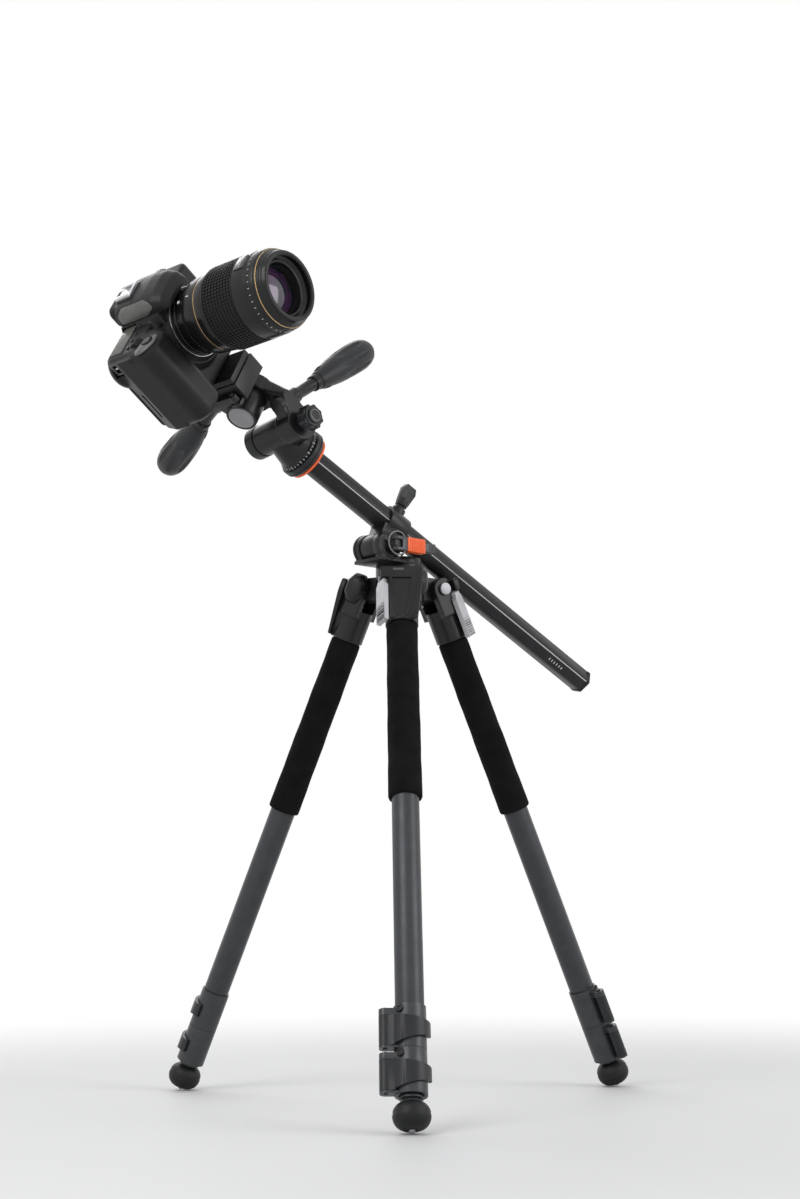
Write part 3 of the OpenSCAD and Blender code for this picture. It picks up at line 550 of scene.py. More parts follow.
class Paint(Enum):
    """Every finish on the object."""

    CASTING = Finish(
        "cast_grey", "casting", (0.014, 0.0144, 0.0155), 0.32, grain=0.45, depth=0.025, specular=0.28,
    )
    TUBE = Brushed(
        "charcoal_tube", "anodised", (0.045, 0.047, 0.052), 0.36,
        metallic=0.3, grain=0.3, depth=0.01, specular=0.4,
    )
    COLUMN = Brushed(
        "black_column", "column_black", (0.016, 0.0165, 0.018), 0.34,
        metallic=0.1, grain=0.3, depth=0.01, specular=0.25,
    )
    FOAM = Foam("black_foam", "foam", (0.007, 0.007, 0.0075), 0.95, grain=0.5, depth=0.16, specular=0.1)
    LOCK = Brushed(
        "grey_collar", "lock_grey", (0.052, 0.054, 0.058), 0.34,
        metallic=0.4, grain=0.35, depth=0.012, specular=0.4,
    )
    LEVER = Finish(
        "dark_lever", "lever_dark", (0.02, 0.021, 0.023), 0.38, grain=0.7, depth=0.04, specular=0.3,
    )
    RUBBER = Finish(
        "black_rubber", "rubber", (0.012, 0.0125, 0.013), 0.5, grain=0.5, depth=0.04, specular=0.25,
    )
    SILVER = Lathed("satin_silver", "silver", (0.5, 0.5, 0.52), 0.4, metallic=0.5, depth=0.008, mottle=0.04)
    STEEL = Lathed("machined_steel", "steel", (0.28, 0.28, 0.3), 0.36, metallic=0.6, depth=0.01, mottle=0.05)
    ORANGE = Finish("orange_enamel", "orange", (1.0, 0.14, 0.025), 0.42, grain=0.5, depth=0.01, mottle=0.03)
    HANDLE = Finish(
        "soft_handle", "handle", (0.02, 0.021, 0.023), 0.42, grain=0.45, depth=0.03, specular=0.28,
    )
    BODY = Finish(
        "camera_shell", "camera_black", (0.011, 0.0112, 0.012), 0.4, grain=0.35, depth=0.03, specular=0.25,
    )
    REAR = Finish(
        "camera_rear", "camera_rear", (0.011, 0.0112, 0.012), 0.42, grain=0.35, depth=0.03, specular=0.25,
    )
    LENS = Finish(
        "lens_satin", "lens_black", (0.007, 0.007, 0.0075), 0.26, grain=0.25, depth=0.008, specular=0.32,
    )
    LENS_GRIP = Finish(
        "lens_rubber", "lens_rubber", (0.01, 0.01, 0.0105), 0.5, grain=0.3, depth=0.02, specular=0.22,
    )
    SHOE = Brushed("shoe_metal", "shoe_metal", (0.6, 0.6, 0.62), 0.3, metallic=0.9, grain=0.2, depth=0.01)
    # light line on the column's corner: partly a real line, partly painted highlight of the corner's reflection
    INLAY = Finish("light_inlay", "silver", (0.62, 0.62, 0.62), 0.4, grain=0.5, depth=0.005, mottle=0.04)
    MARK = Finish("white_mark", "camera_black", (0.75, 0.75, 0.73), 0.5, grain=0.5, depth=0.005, mottle=0.04)
    GOLD = Finish(
        "gold_line", "lens_black", (0.55, 0.36, 0.16), 0.3, metallic=0.6, grain=0.5, depth=0.005, mottle=0.04,
    )
    TURRET = Finish("neck_grey", "casting", (0.14, 0.142, 0.148), 0.38, metallic=0.3, grain=0.5, depth=0.02)
    PANEL = Finish(
        "grey_panel", "camera_black", (0.12, 0.122, 0.11), 0.24, grain=0.5, depth=0.004, specular=0.4,
    )
    DISH = Finish(
        "satin_dish", "camera_black", (0.1, 0.101, 0.105), 0.26, grain=0.4, depth=0.006, specular=0.5,
    )
    SCREEN = Finish(
        "dark_screen", "camera_rear", (0.01, 0.011, 0.013), 0.08, grain=0.5, depth=0.002, coat=0.4,
    )
    CAP = Lathed("brushed_cap", "silver", (0.27, 0.27, 0.28), 0.36, metallic=0.4, depth=0.01, mottle=0.05)
    PLATED = Finish("grey_plate", "handle", (0.1, 0.101, 0.105), 0.3, metallic=0.4, grain=0.4, depth=0.006)
    # front glass: its purple patches are painted reflection of the coating
    GLASS = PaintedReflectionGlass(
        "coated_glass", "glass", (0.05, 0.012, 0.06), 0.03, metallic=0.2, grain=0.5, depth=0.002, coat=1.0,
    )
    GLOSS = Finish(
        "gloss_black", "button_black", (0.008, 0.008, 0.009), 0.14, grain=0.4, depth=0.004, specular=0.4,
    )

    @property
    def finish(self) -> Finish:
        """The finish itself."""
        return self.value


class Paints:
    """Materials already made, one for each finish and frame."""

    def __init__(self) -> None:
        """Starts with none."""
        self._made: dict[tuple[str, str], bpy.types.Material] = {}

    def get(self, finish: Finish, place: Place | None, key: str = "") -> bpy.types.Material:
        """Returns the material of a finish in a frame.

        Args:
            finish: The finish.
            place: Frame that its directions follow.
            key: Name of that frame.

        Returns:
            The material, made once.
        """
        name = (finish.name, key)
        if name not in self._made:
            self._made[name] = finish.material(place)
            if key:
                self._made[name].name = f"{finish.name}_{key}"
        return self._made[name]


# ---- studio -------------------------------------------------------------------------------------------


@dataclass
class Studio:
    """The camera, the pale floor and the soft lamps."""

    eye: Point3 = (-52.5, -1868.4, 193.6)
    yaw: float = 1.61
    pitch: float = 9.44
    roll: float = -0.35
    focal: float = 54.88
    sensor: float = 36.0
    floor_r: float = 6.0
    floor_grey: float = 0.8
    fade_from: float = 480.0
    fade_to: float = 1500.0
    sky: float = 0.5
    lamps: tuple[tuple[str, Point3, float, float, float], ...] = (
        ("key_lamp", (-1.5, -1.7, 1.9), 0.55, 1.5, 24.0),
        ("side_lamp", (1.9, -0.9, 1.2), 0.5, 1.3, 15.0),
        ("back_lamp", (-0.6, 1.7, 1.9), 0.6, 1.6, 16.0),
    )

    def build(self) -> None:
        """Makes everything that isn't the object."""
        self._camera()
        self._floor()
        self._world()
        for name, where, height, size, watts in self.lamps:
            self._lamp(name, where, Vector((0.0, 0.0, height)), size, watts)

    def _camera(self) -> None:
        """Sets the camera at its angle."""
        yaw, pitch, roll = (math.radians(a) for a in (self.yaw, self.pitch, self.roll))
        ahead = Vector((math.sin(yaw) * math.cos(pitch), math.cos(yaw) * math.cos(pitch), math.sin(pitch)))
        level = Vector((math.cos(yaw), -math.sin(yaw), 0.0))
        above = level.cross(ahead)
        right = math.cos(roll) * level + math.sin(roll) * above
        top = math.cos(roll) * above - math.sin(roll) * level
        data = bpy.data.cameras.new("view")
        data.sensor_fit = "VERTICAL"
        data.sensor_height = self.sensor
        data.lens = self.focal
        data.clip_start, data.clip_end = 0.05, 50.0
        thing = bpy.data.objects.new("view", data)
        bpy.context.scene.collection.objects.link(thing)
        turn = Matrix((right, top, -ahead)).transposed().to_4x4()
        thing.matrix_world = Matrix.Translation(Vector(self.eye) * MM) @ turn
        bpy.context.scene.camera = thing

    def _floor(self) -> None:
        """Lays a pale floor that fades into the white round about."""
        bpy.ops.mesh.primitive_circle_add(vertices=96, radius=self.floor_r, fill_type="NGON")
        floor = bpy.context.object
        floor.name = "floor"
        graph = Graph.of_material("pale_floor")
        x, y, _ = graph.parts(graph.spot(None))
        fade = (x * x + y * y).apply("SQRT").step(self.fade_from, self.fade_to)
        grey = self.floor_grey
        graph.give(base_color=rgba(grey, grey, grey), roughness=0.6, specular_ior_level=0.2)
        glow = graph.node("ShaderNodeEmission", None, {"Color": rgba(1, 1, 1), "Strength": 1.0})
        graph.end(graph.either(fade * graph.seen(), graph.shader, glow))
        floor.data.materials.append(graph.material)

    def _world(self) -> None:
        """Makes the world white where it is seen, and softer as a light."""
        world = bpy.data.worlds.new("room")
        bpy.context.scene.world = world
        world.use_nodes = True
        graph = Graph.of_world(world)
        seen = graph.node("ShaderNodeBackground", None, {"Color": rgba(1, 1, 1), "Strength": 1.0})
        sky = {"Color": rgba(0.97, 0.98, 1.0), "Strength": self.sky}
        light = graph.node("ShaderNodeBackground", None, sky)
        graph.end(graph.either(graph.seen(), light, seen))
        bpy.context.scene.view_settings.view_transform = "Standard"

    @staticmethod
    def _lamp(name: str, where: Point3, target: Vector, size: float, watts: float) -> None:
        """Hangs a square soft lamp.

        Args:
            name: Name of the lamp.
            where: Its middle, in metres.
            target: Point that it faces.
            size: Side of the square, in metres.
            watts: Its power.
        """
        data = bpy.data.lights.new(name, "AREA")
        data.shape, data.size, data.energy = "SQUARE", size, watts
        thing = bpy.data.objects.new(name, data)
        bpy.context.scene.collection.objects.link(thing)
        thing.location = where
        aim = target - Vector(where)
        thing.rotation_euler = aim.to_track_quat("-Z", "Y").to_euler()


# ---- the bench ----------------------------------------------------------------------------------------


class Work:
    """One piece on the bench, in local millimetres, and the moves that shape it."""

    def __init__(self, thing: bpy.types.Object) -> None:
        """Takes an object that was just added.

        Args:
            thing: The object.
        """
        self.thing = thing

    # starts

    @classmethod
    def _fresh(cls, name: str) -> Work:
        """Takes the primitive that was just added.

        Args:
            name: Name of the piece.

        Returns:
            The piece.
        """
        thing = bpy.context.object
        thing.name = name
        thing.data.name = name
        return cls(thing)

    @classmethod
    def box(cls, name: str, low: Point3, high: Point3) -> Work:
        """Starts from a block between two corners.

        Args:
            name: Name of the piece.
            low: Its lowest corner.
            high: Its highest corner.

        Returns:
            The piece.
        """
        clear()
        middle = [(a + b) / 2 for a, b in zip(low, high)]
        bpy.ops.mesh.primitive_cube_add(size=1, location=middle, scale=[b - a for a, b in zip(low, high)])
        work = cls._fresh(name)
        bpy.ops.object.transform_apply(location=True, rotation=True, scale=True)
        return work

    @classmethod
    def wire(cls, name: str, points: Sequence[Point3], closed: bool) -> Work:
        """Starts from one vertex and extrudes it from point to point.

        Args:
            name: Name of the piece.
            points: The points in order.
            closed: Whether a face closes the outline.

        Returns:
            The piece.
        """
        clear()
        bpy.ops.mesh.primitive_plane_add(size=1, location=(0, 0, 0))
        work = cls._fresh(name)
        with work.editing():
            bpy.ops.mesh.select_all(action="SELECT")
            bpy.ops.mesh.merge(type="CENTER")
            bpy.ops.transform.translate(value=points[0])
            for before, after in zip(points, points[1:]):
                bpy.ops.mesh.extrude_region_move(
                    TRANSFORM_OT_translate={"value": [b - a for a, b in zip(before, after)]}
                )
            if closed:
                bpy.ops.mesh.select_all(action="SELECT")
                bpy.ops.mesh.edge_face_add()
        return work

    @classmethod
    def plate(cls, name: str, outline: Outline, low: float, high: float) -> Work:
        """Draws an outline on the local XY plane and extrudes it.

        Args:
            name: Name of the piece.
            outline: The outline's corners.
            low: Height of the lower face.
            high: Height of the upper face.

        Returns:
            The piece.
        """
        work = cls.wire(name, [(x, y, low) for x, y in outline], True)
        with work.editing():
            bpy.ops.mesh.select_all(action="SELECT")
            bpy.ops.mesh.extrude_region_move(TRANSFORM_OT_translate={"value": (0, 0, high - low)})
            bpy.ops.mesh.select_all(action="SELECT")
            bpy.ops.mesh.normals_make_consistent(inside=False)
        return work

    @classmethod
    def turned(cls, name: str, outline: Outline, steps: int = 96, ease: float = 0.0) -> Work:
        """Spins an outline about the local Z axis.

        Args:
            name: Name of the piece.
            outline: Corners as (distance along the axis, radius). It ends on the axis or where it began.
            steps: Steps round the axis.
            ease: Size of the small rounds at the corners.

        Returns:
            The piece.
        """
        path = eased(outline, ease) if ease else outline
        work = cls.wire(name, [(radius, 0.0, along) for along, radius in path], False)
        with work.editing():
            bpy.ops.mesh.select_all(action="SELECT")
            bpy.ops.mesh.spin(steps=steps, angle=2 * math.pi, center=(0, 0, 0), axis=(0, 0, 1))
            bpy.ops.mesh.select_all(action="SELECT")
            bpy.ops.mesh.remove_doubles(threshold=0.002)
            bpy.ops.mesh.normals_make_consistent(inside=False)
        return work

    @classmethod
    def copy_of(cls, name: str, node: str, place: Place) -> Work:
        """Starts from a copy of a node of the part, with its triangles merged.

        Args:
            name: Name of the piece.
            node: The node.
            place: Frame whose millimetres the copy is brought to.

        Returns:
            The piece.
        """
        clear()
        source = frame["nodes"][node]
        thing = bpy.data.objects.new(name, source.data.copy())
        bpy.context.scene.collection.objects.link(thing)
        thing.data.materials.clear()
        thing.data.transform(place.matrix.inverted())
        work = cls(thing)
        with work.editing():
            bpy.ops.mesh.select_all(action="SELECT")
            bpy.ops.mesh.customdata_custom_splitnormals_clear()
            bpy.ops.mesh.remove_doubles(threshold=0.003)
            bpy.ops.mesh.select_all(action="SELECT")
            bpy.ops.mesh.dissolve_limited(angle_limit=math.radians(0.5))
        return work

    @classmethod
    def hull(cls, name: str, points: Sequence[Point3]) -> Work:
        """Stretches a tight skin over points.

        Args:
            name: Name of the piece.
            points: The points.

        Returns:
            The piece.
        """
        work = cls.wire(name, points, False)
        with work.editing():
            bpy.ops.mesh.select_all(action="SELECT")
            bpy.ops.mesh.convex_hull()
            bpy.ops.mesh.select_all(action="SELECT")
            bpy.ops.mesh.normals_make_consistent(inside=False)
        return work

    @classmethod
    def ball(cls, name: str, middle: Point3, radii: Point3, steps: int = 40) -> Work:
        """Starts from a ball.

        Args:
            name: Name of the piece.
            middle: Its middle.
            radii: Its radius along each axis.
            steps: Steps round it.

        Returns:
            The piece.
        """
        clear()
        bpy.ops.mesh.primitive_uv_sphere_add(segments=steps, ring_count=steps // 2, radius=1, location=middle)
        work = cls._fresh(name)
        work.thing.scale = radii
        bpy.ops.object.transform_apply(location=True, rotation=True, scale=True)
        return work

    # selections

    def _active(self) -> None:
        """Makes this piece the only one selected."""
        clear()
        self.thing.select_set(True)
        bpy.context.view_layer.objects.active = self.thing

    @contextmanager
    def editing(self) -> Iterator[None]:
        """Opens edit mode with nothing selected, and leaves it afterwards."""
        self._active()
        bpy.ops.object.mode_set(mode="EDIT")
        bpy.ops.mesh.select_mode(type="VERT")
        bpy.ops.mesh.select_all(action="DESELECT")
        try:
            yield
        finally:
            bpy.ops.object.mode_set(mode="OBJECT")

    # moves

    def _modifier(self, kind: str, **settings: object) -> None:
        """Adds a modifier and applies it.

        Args:
            kind: Type of the modifier.
            settings: Its settings.
        """
        self._active()
        made = self.thing.modifiers.new(kind.lower(), kind)
        for key, value in settings.items():
            setattr(made, key, value)
        bpy.ops.object.modifier_apply(modifier=made.name)

    def bevel(self, width: float, segments: int = 2, angle: float = 32.0) -> Work:
        """Rounds the sharp edges.

        Args:
            width: Width of the rounds.
            segments: Number of faces across a round.
            angle: Edges sharper than this are rounded, in degrees.

        Returns:
            The piece.
        """
        self._modifier(
            "BEVEL", width=width, segments=segments, limit_method="ANGLE", angle_limit=math.radians(angle),
            miter_outer="MITER_ARC", use_clamp_overlap=True,
        )
        return self

    def cut(self, *tools: Work) -> Work:
        """Takes other pieces away from this one."""
        return self._boolean("DIFFERENCE", tools)

    def keep(self, *tools: Work) -> Work:
        """Keeps only what lies inside other pieces."""
        return self._boolean("INTERSECT", tools)

    def _boolean(self, operation: str, tools: Sequence[Work]) -> Work:
        """Runs a boolean with each tool, and removes the tools.

        Args:
            operation: Type of the boolean.
            tools: The other pieces.

        Returns:
            The piece.
        """
        for tool in tools:
            self._modifier("BOOLEAN", operation=operation, object=tool.thing, solver="EXACT")
            bpy.data.objects.remove(tool.thing)
        return self

    def join(self, *others: Work) -> Work:
        """Puts other meshes into this piece as they are.

        Args:
            others: The other pieces.

        Returns:
            The piece.
        """
        self._active()
        for other in others:
            other.thing.select_set(True)
        bpy.ops.object.join()
        return self

    def slice(self, point: Point3, normal: Point3) -> Work:
        """Cuts away what lies beyond a plane.

        Args:
            point: A point of the plane.
            normal: Direction of what goes.

        Returns:
            The piece.
        """
        with self.editing():
            bpy.ops.mesh.select_all(action="SELECT")
            bpy.ops.mesh.bisect(plane_co=point, plane_no=normal, use_fill=True, clear_outer=True)
        return self

    def melt(self, voxel: float, rounds: int = 4) -> Work:
        """Makes one cast skin of what overlaps, with soft inner corners.

        Args:
            voxel: Size of its faces.
            rounds: How often it is smoothed.

        Returns:
            The piece.
        """
        self._modifier("REMESH", mode="VOXEL", voxel_size=voxel, adaptivity=0.0)
        self._modifier("SMOOTH", factor=0.5, iterations=rounds)
        return self

    def thin(self, share: float) -> Work:
        """Keeps only a share of the faces where they are flat."""
        self._modifier("DECIMATE", ratio=share)
        return self

    def shift(self, x: float = 0.0, y: float = 0.0, z: float = 0.0) -> Work:
        """Moves the piece on the bench."""
        return self._transform(Matrix.Translation((x, y, z)))

    def roll(self, axis: str, degrees: float) -> Work:
        """Turns the piece about a local axis through the origin."""
        return self._transform(Matrix.Rotation(math.radians(degrees), 4, axis))

    def _transform(self, matrix: Matrix) -> Work:
        """Moves the mesh by a matrix and leaves the object at the origin.

        Args:
            matrix: The move.

        Returns:
            The piece.
        """
        self._active()
        self.thing.matrix_world = matrix
        bpy.ops.object.transform_apply(location=True, rotation=True, scale=True)
        return self

    def twin(self) -> Work:
        """Copies the piece.

        Returns:
            The copy, with a mesh of its own.
        """
        thing = self.thing.copy()
        thing.data = self.thing.data.copy()
        bpy.context.scene.collection.objects.link(thing)
        return Work(thing)

    def row(self, count: int, step: Point3) -> Work:
        """Repeats the piece in a row.

        Args:
            count: Number of pieces in all.
            step: The way from one to the next.

        Returns:
            The piece.
        """
        self._modifier(
            "ARRAY", count=count, use_relative_offset=False, use_constant_offset=True,
            constant_offset_displace=step,
        )
        return self

    def round_about(self, count: int) -> Work:
        """Repeats the piece round the local Z axis.

        Args:
            count: Number of pieces in all.

        Returns:
            The piece.
        """
        with self.editing():
            bpy.ops.mesh.select_all(action="SELECT")
            bpy.ops.mesh.spin(
                steps=count - 1, angle=2 * math.pi * (count - 1) / count,
                center=(0, 0, 0), axis=(0, 0, 1), dupli=True,
            )
        return self


def clear() -> None:
    """Goes to object mode and deselects everything."""
    if bpy.context.object and bpy.context.object.mode != "OBJECT":
        bpy.ops.object.mode_set(mode="OBJECT")
    bpy.ops.object.select_all(action="DESELECT")


def eased(outline: Outline, size: float) -> Outline:
    """Rounds the corners of an open outline.

    Args:
        outline: The corners.
        size: How far from a corner its round begins.

    Returns:
        The outline with two or three points for each corner.
    """
    result = [outline[0]]
    for before, corner, after in zip(outline, outline[1:], outline[2:]):
        a, b, c = Vector(before), Vector(corner), Vector(after)
        into, out = b - a, c - b
        if into.length < 1e-6 or out.length < 1e-6 or into.angle(out) < math.radians(18):
            result.append(corner)
            continue
        reach = min(size, into.length * 0.45, out.length * 0.45)
        start, end = b - into.normalized() * reach, b + out.normalized() * reach
        middle = (start + end) * 0.25 + b * 0.5
        result += [tuple(start), tuple(middle), tuple(end)]
    result.append(outline[-1])
    return result


def arc(x: float, y: float, radius: float, start: float, end: float, steps: int = 8) -> Outline:
    """Returns points of a round corner, with angles in degrees."""
    angles = [math.radians(start + (end - start) * i / steps) for i in range(steps + 1)]
    return [(x + radius * math.cos(a), y + radius * math.sin(a)) for a in angles]


def slab(low: Point2, high: Point2, radius: float, steps: int = 6) -> Outline:
    """Draws a rectangle with round corners.

    Args:
        low: Its lowest corner.
        high: Its highest corner.
        radius: Radius of the corners.
        steps: Steps of each corner.

    Returns:
        The outline, turning left.
    """
    (x0, y0), (x1, y1), r = low, high, radius
    return (
        arc(x1 - r, y0 + r, r, -90, 0, steps) + arc(x1 - r, y1 - r, r, 0, 90, steps)
        + arc(x0 + r, y1 - r, r, 90, 180, steps) + arc(x0 + r, y0 + r, r, 180, 270, steps)
    )


def pipe(
    name: str, low: float, high: float, outer: float, inner: float, ease: float = 0.4, steps: int = 96
) -> Work:
    """Turns a tube.

    Args:
        name: Name of the piece.
        low: Where it starts on the axis.
        high: Where it ends.
        outer: Outer radius.
        inner: Inner radius.
        ease: Size of the rounds at its edges.
        steps: Steps round the axis.

    Returns:
        The piece.
    """
    middle = (inner + outer) / 2
    outline = [(low, middle), (low, outer), (high, outer), (high, inner), (low, inner), (low, middle)]
    return Work.turned(name, outline, steps, ease)


@dataclass
class Crew:
    """What every sub-assembly needs: the frames, the materials, and the last steps of a piece."""

    rig: Rig
    paints: Paints

    def done(
        self, work: Work, body: str, place: Place, paint: Paint, *replaced: str,
        key: str = "", angle: float = 35.0,
    ) -> bpy.types.Object:
        """Finishes a piece: sets it in its place, dresses it and lets it ride.

        Args:
            work: The piece.
            body: The body that it moves with.
            place: Its frame.
            paint: Its finish.
            replaced: Nodes of the part that it stands for.
            key: Name of the frame that its finish follows, where directions matter.
            angle: Edges sharper than this stay sharp.

        Returns:
            The finished object.
        """
        clear()
        thing = work.thing
        thing.select_set(True)
        bpy.context.view_layer.objects.active = thing
        thing.matrix_world = place.matrix
        bpy.ops.object.transform_apply(location=True, rotation=True, scale=True)
        bpy.ops.object.shade_smooth_by_angle(angle=math.radians(angle), keep_sharp_edges=False)
        thing.data.materials.clear()
        thing.data.materials.append(self.paints.get(paint.finish, place if key else None, key))
        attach(thing, body)
        if replaced:
            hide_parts(*replaced)
        log.info("%s: %d faces", thing.name, len(thing.data.polygons))
        return thing

    def dress(self, node: str, paint: Paint) -> None:
        """Gives a node of the part its material.

        Args:
            node: The node.
            paint: Its finish.
        """
        data = frame["nodes"][node].data
        data.materials.clear()
        data.materials.append(self.paints.get(paint.finish, None))


# ---- legs ---------------------------------------------------------------------------------------------


@dataclass
class Leg(Crew):
    """One leg: its shoulder, foam, tubes, clamp collars, levers and foot."""

    name: str
    foam_round: float = 2.2
    edge: float = 0.5
    foam_fill: float = 0.95
    foam_taper: float = 0.7
    foam_steps: int = 26
    wall: float = 1.5
    foot_h: float = 24.5
    foot_steps: int = 22
    foot_round: float = 0.62
    spike_l: float = 3.0
    stem_r: float = 11.0
    rod_r: float = 9.4
    screw_r: float = 3.7
    shield_x: float = 18.9
    shield_back: float = 13.0
    shield_lean: float = 0.066
    shield_ribs: tuple[Point2, ...] = ((-11.4, -5.0), (11.4, 5.0), (17.6, 10.4))
    blade_ribs: int = 7

    def build(self) -> None:
        """Builds the leg's pieces from its hinge down to its foot."""
        self.place = self.rig.leg(self.name)
        self.key = f"{self.name}_leg"
        self._shoulder()
        self._angle_lock()
        self._tube("upper_tube", f"{self.name}_leg")
        self._tube("middle_tube", f"{self.name}_middle_section")
        self._foam()
        self._lock("upper", f"{self.name}_leg")
        self._lock("lower", f"{self.name}_middle_section")
        self._foot()

    def _node(self, piece: str) -> str:
        """Returns the name of one of this leg's nodes."""
        return f"{self.name}_{piece}"

    def _tube(self, piece: str, body: str) -> None:
        """Turns a leg tube with eased ends.

        Args:
            piece: The tube's node, without the leg's name.
            body: The body that it moves with.
        """
        low, high = self.place.extent(self._node(piece))
        outer = (high.x - low.x) / 2
        work = pipe(f"{self._node(piece)}_shell", low.z, high.z, outer, outer - self.wall, self.edge)
        self.done(work, body, self.place, Paint.TUBE, self._node(piece), key=self.key)

    def _foam(self) -> None:
        """Turns the foam sleeve: rolled ends, a slight taper, and soft unevenness along it."""
        low, high = self.place.extent(self._node("foam_grip"))
        outer = (high.x - low.x) / 2
        bore = self.place.extent(self._node("upper_tube"))[1].x + 0.3
        wall = []
        for i in range(self.foam_steps + 1):
            share = i / self.foam_steps
            z = low.z + self.foam_round + share * (high.z - low.z - 2 * self.foam_round)
            swell = 0.16 * math.sin(share * 21.0) + 0.1 * math.sin(share * 47.0 + 1.0)
            wall.append((z, outer - self.foam_taper * share - 0.3 + swell))
        foot = [(low.z, bore + 0.6), (low.z + 0.2, wall[0][1] - 1.6), (low.z + 0.9, wall[0][1] - 0.5)]
        head = [(high.z - 0.9, wall[-1][1] - 0.5), (high.z - 0.2, wall[-1][1] - 1.6), (high.z, bore + 0.6)]
        outline = [(low.z + 0.6, bore), *foot, *wall, *head, (high.z - 0.6, bore), (low.z + 0.6, bore)]
        work = Work.turned(f"{self._node('foam')}_sleeve", outline, 72)
        thing = self.done(work, f"{self.name}_leg", self.place, Paint.FOAM, self._node("foam_grip"), angle=70)

    def _shoulder(self) -> None:
        """Casts the shoulder and sets its faceted shield on it."""
        node = self._node("shoulder")
        work = Work.copy_of(f"{node}_casting", node, self.place).melt(0.7, 4).thin(0.5)
        self.done(work, f"{self.name}_leg", self.place, Paint.CASTING, node, angle=40)
        self._shield(node)

    def _shield(self, node: str) -> None:
        """Casts the tapered shield in front of the shoulder, with a sunk panel, ribs, a mark and a screw.

        Args:
            node: The shoulder's node.
        """
        body = f"{self.name}_leg"
        end = self.place.extent(node)[0].z
        face = self.shield_x
        outline = [
            (-20.0, 6.5), (20.0, 6.5), (21.5, 4.0), (21.5, -6.0), (15.8, end + 1), (-12.8, end + 1),
            (-12.8, -6.0), (-21.0, -6.0), (-21.5, 4.0),
        ]
        work = Work.plate(f"{node}_shield", outline, self.shield_back, face)
        work.slice((0, -10, face), (0, -self.shield_lean, 1)).bevel(0.9, 3)
        panel = [(-9.5, -7), (9.5, -7), (3.6, end + 5), (-3.6, end + 5)]
        work.cut(Work.plate("panel", panel, face - 1.8, 30))
        for top, foot in self.shield_ribs:
            head = [(top + w, -5.5, face + x) for w in (-0.7, 0.7) for x in (-1.0, 0.8)]
            tail = [(foot + w, end + 2.5, face + x) for w in (-0.7, 0.7) for x in (-3.4, -1.6)]
            work.join(Work.hull("rib", head + tail).bevel(0.35, 2))
        front = self._frontal()
        self.done(work, body, front, Paint.CASTING)
        mark = Work.box(f"{node}_mark", (-8.6, 1.4, face - 0.5), (2.4, 4.0, face + 0.25)).bevel(0.2, 1)
        self.done(mark, body, front, Paint.PLATED)
        self._cap(node, body)
        wall = [(-1, 0), (-1, 2.6), (0.5, 2.6), (0.7, 1.9), (0.2, 1.5), (0.1, 0)]
        screw = Work.turned(f"{node}_screw", wall, 32, 0.2)
        screw.roll("Y", 90).shift(x=16.3).roll("Z", 42).shift(z=end + 9)
        self.done(screw, body, self.place, Paint.GLOSS)

    def _cap(self, node: str, body: str) -> None:
        """Casts the eight-sided cap over the end of the hinge pin.

        Args:
            node: The shoulder's node.
            body: The body that it moves with.
        """
        points = []
        for y, across, up in ((13.6, 12.6, 17.5), (21.0, 12.6, 17.5), (25.6, 9.6, 14.0), (27.2, 5.6, 9.0)):
            turns = [math.radians(a) for a in range(22, 382, 45)]
            points += [(across * math.cos(t), y, 1.0 + up * math.sin(t)) for t in turns]
        cap = Work.hull(f"{node}_cap", points).bevel(1.5, 3, 12)
        self.done(cap, body, self.place, Paint.CASTING, angle=50)

    def _frontal(self) -> Place:
        """Returns the leg's frame turned so that its XY plane faces outward: X across, Y up the leg."""
        return Place(self.place.origin, self.place.turn @ Matrix(((0, 0, 1), (1, 0, 0), (0, 1, 0))))

    def _angle_lock(self) -> None:
        """Forms the pull lever that sets the leg's angle."""
        node = self._node("angle_lock")
        work = Work.copy_of(f"{node}_blade", node, self.place).bevel(0.5, 3)
        self.done(work, f"{self.name}_angle_lock", self.place, Paint.SILVER, node)
        blade = self.place.turned("Z", -60)
        low, high = blade.extent(node)
        rib = Work.box(f"{node}_ribs", (high.x - 1.2, -6.6, low.z + 1.6), (high.x + 0.12, 6.6, low.z + 2.3))
        rib.bevel(0.15, 1).row(self.blade_ribs, (0, 0, 2.5))
        self.done(rib, f"{self.name}_angle_lock", blade, Paint.PLATED)

    def _lock(self, which: str, body: str) -> None:
        """Forms a clamp collar with its ears, its screw, and the lever that closes it.

        Args:
            which: The upper or the lower one.
            body: The body that the collar moves with.
        """
        node = self._node(f"{which}_lock")
        work = Work.copy_of(f"{node}_collar", node, self.place).bevel(0.5, 2)
        self.done(work, body, self.place, Paint.LOCK, node, key=self.key)
        top = self.place.extent(node)[1].z
        r = self.screw_r
        wall = [(-2, 0), (-2, r - 0.4), (1.0, r), (1.9, r - 0.7), (1.9, 1.6), (1.2, 1.4), (1.1, 0)]
        screw = Work.turned(f"{node}_screw", wall, 40, 0.25)
        screw.roll("Y", 90).shift(x=14.4).roll("Z", -38).shift(z=top - 4.6)
        self.done(screw, body, self.place, Paint.GLOSS)
        node = self._node(f"{which}_lever")
        work = Work.copy_of(f"{node}_arm", node, self.place).bevel(0.7, 2)
        self.done(work, f"{self.name}_{which}_lever", self.place, Paint.LEVER, node)

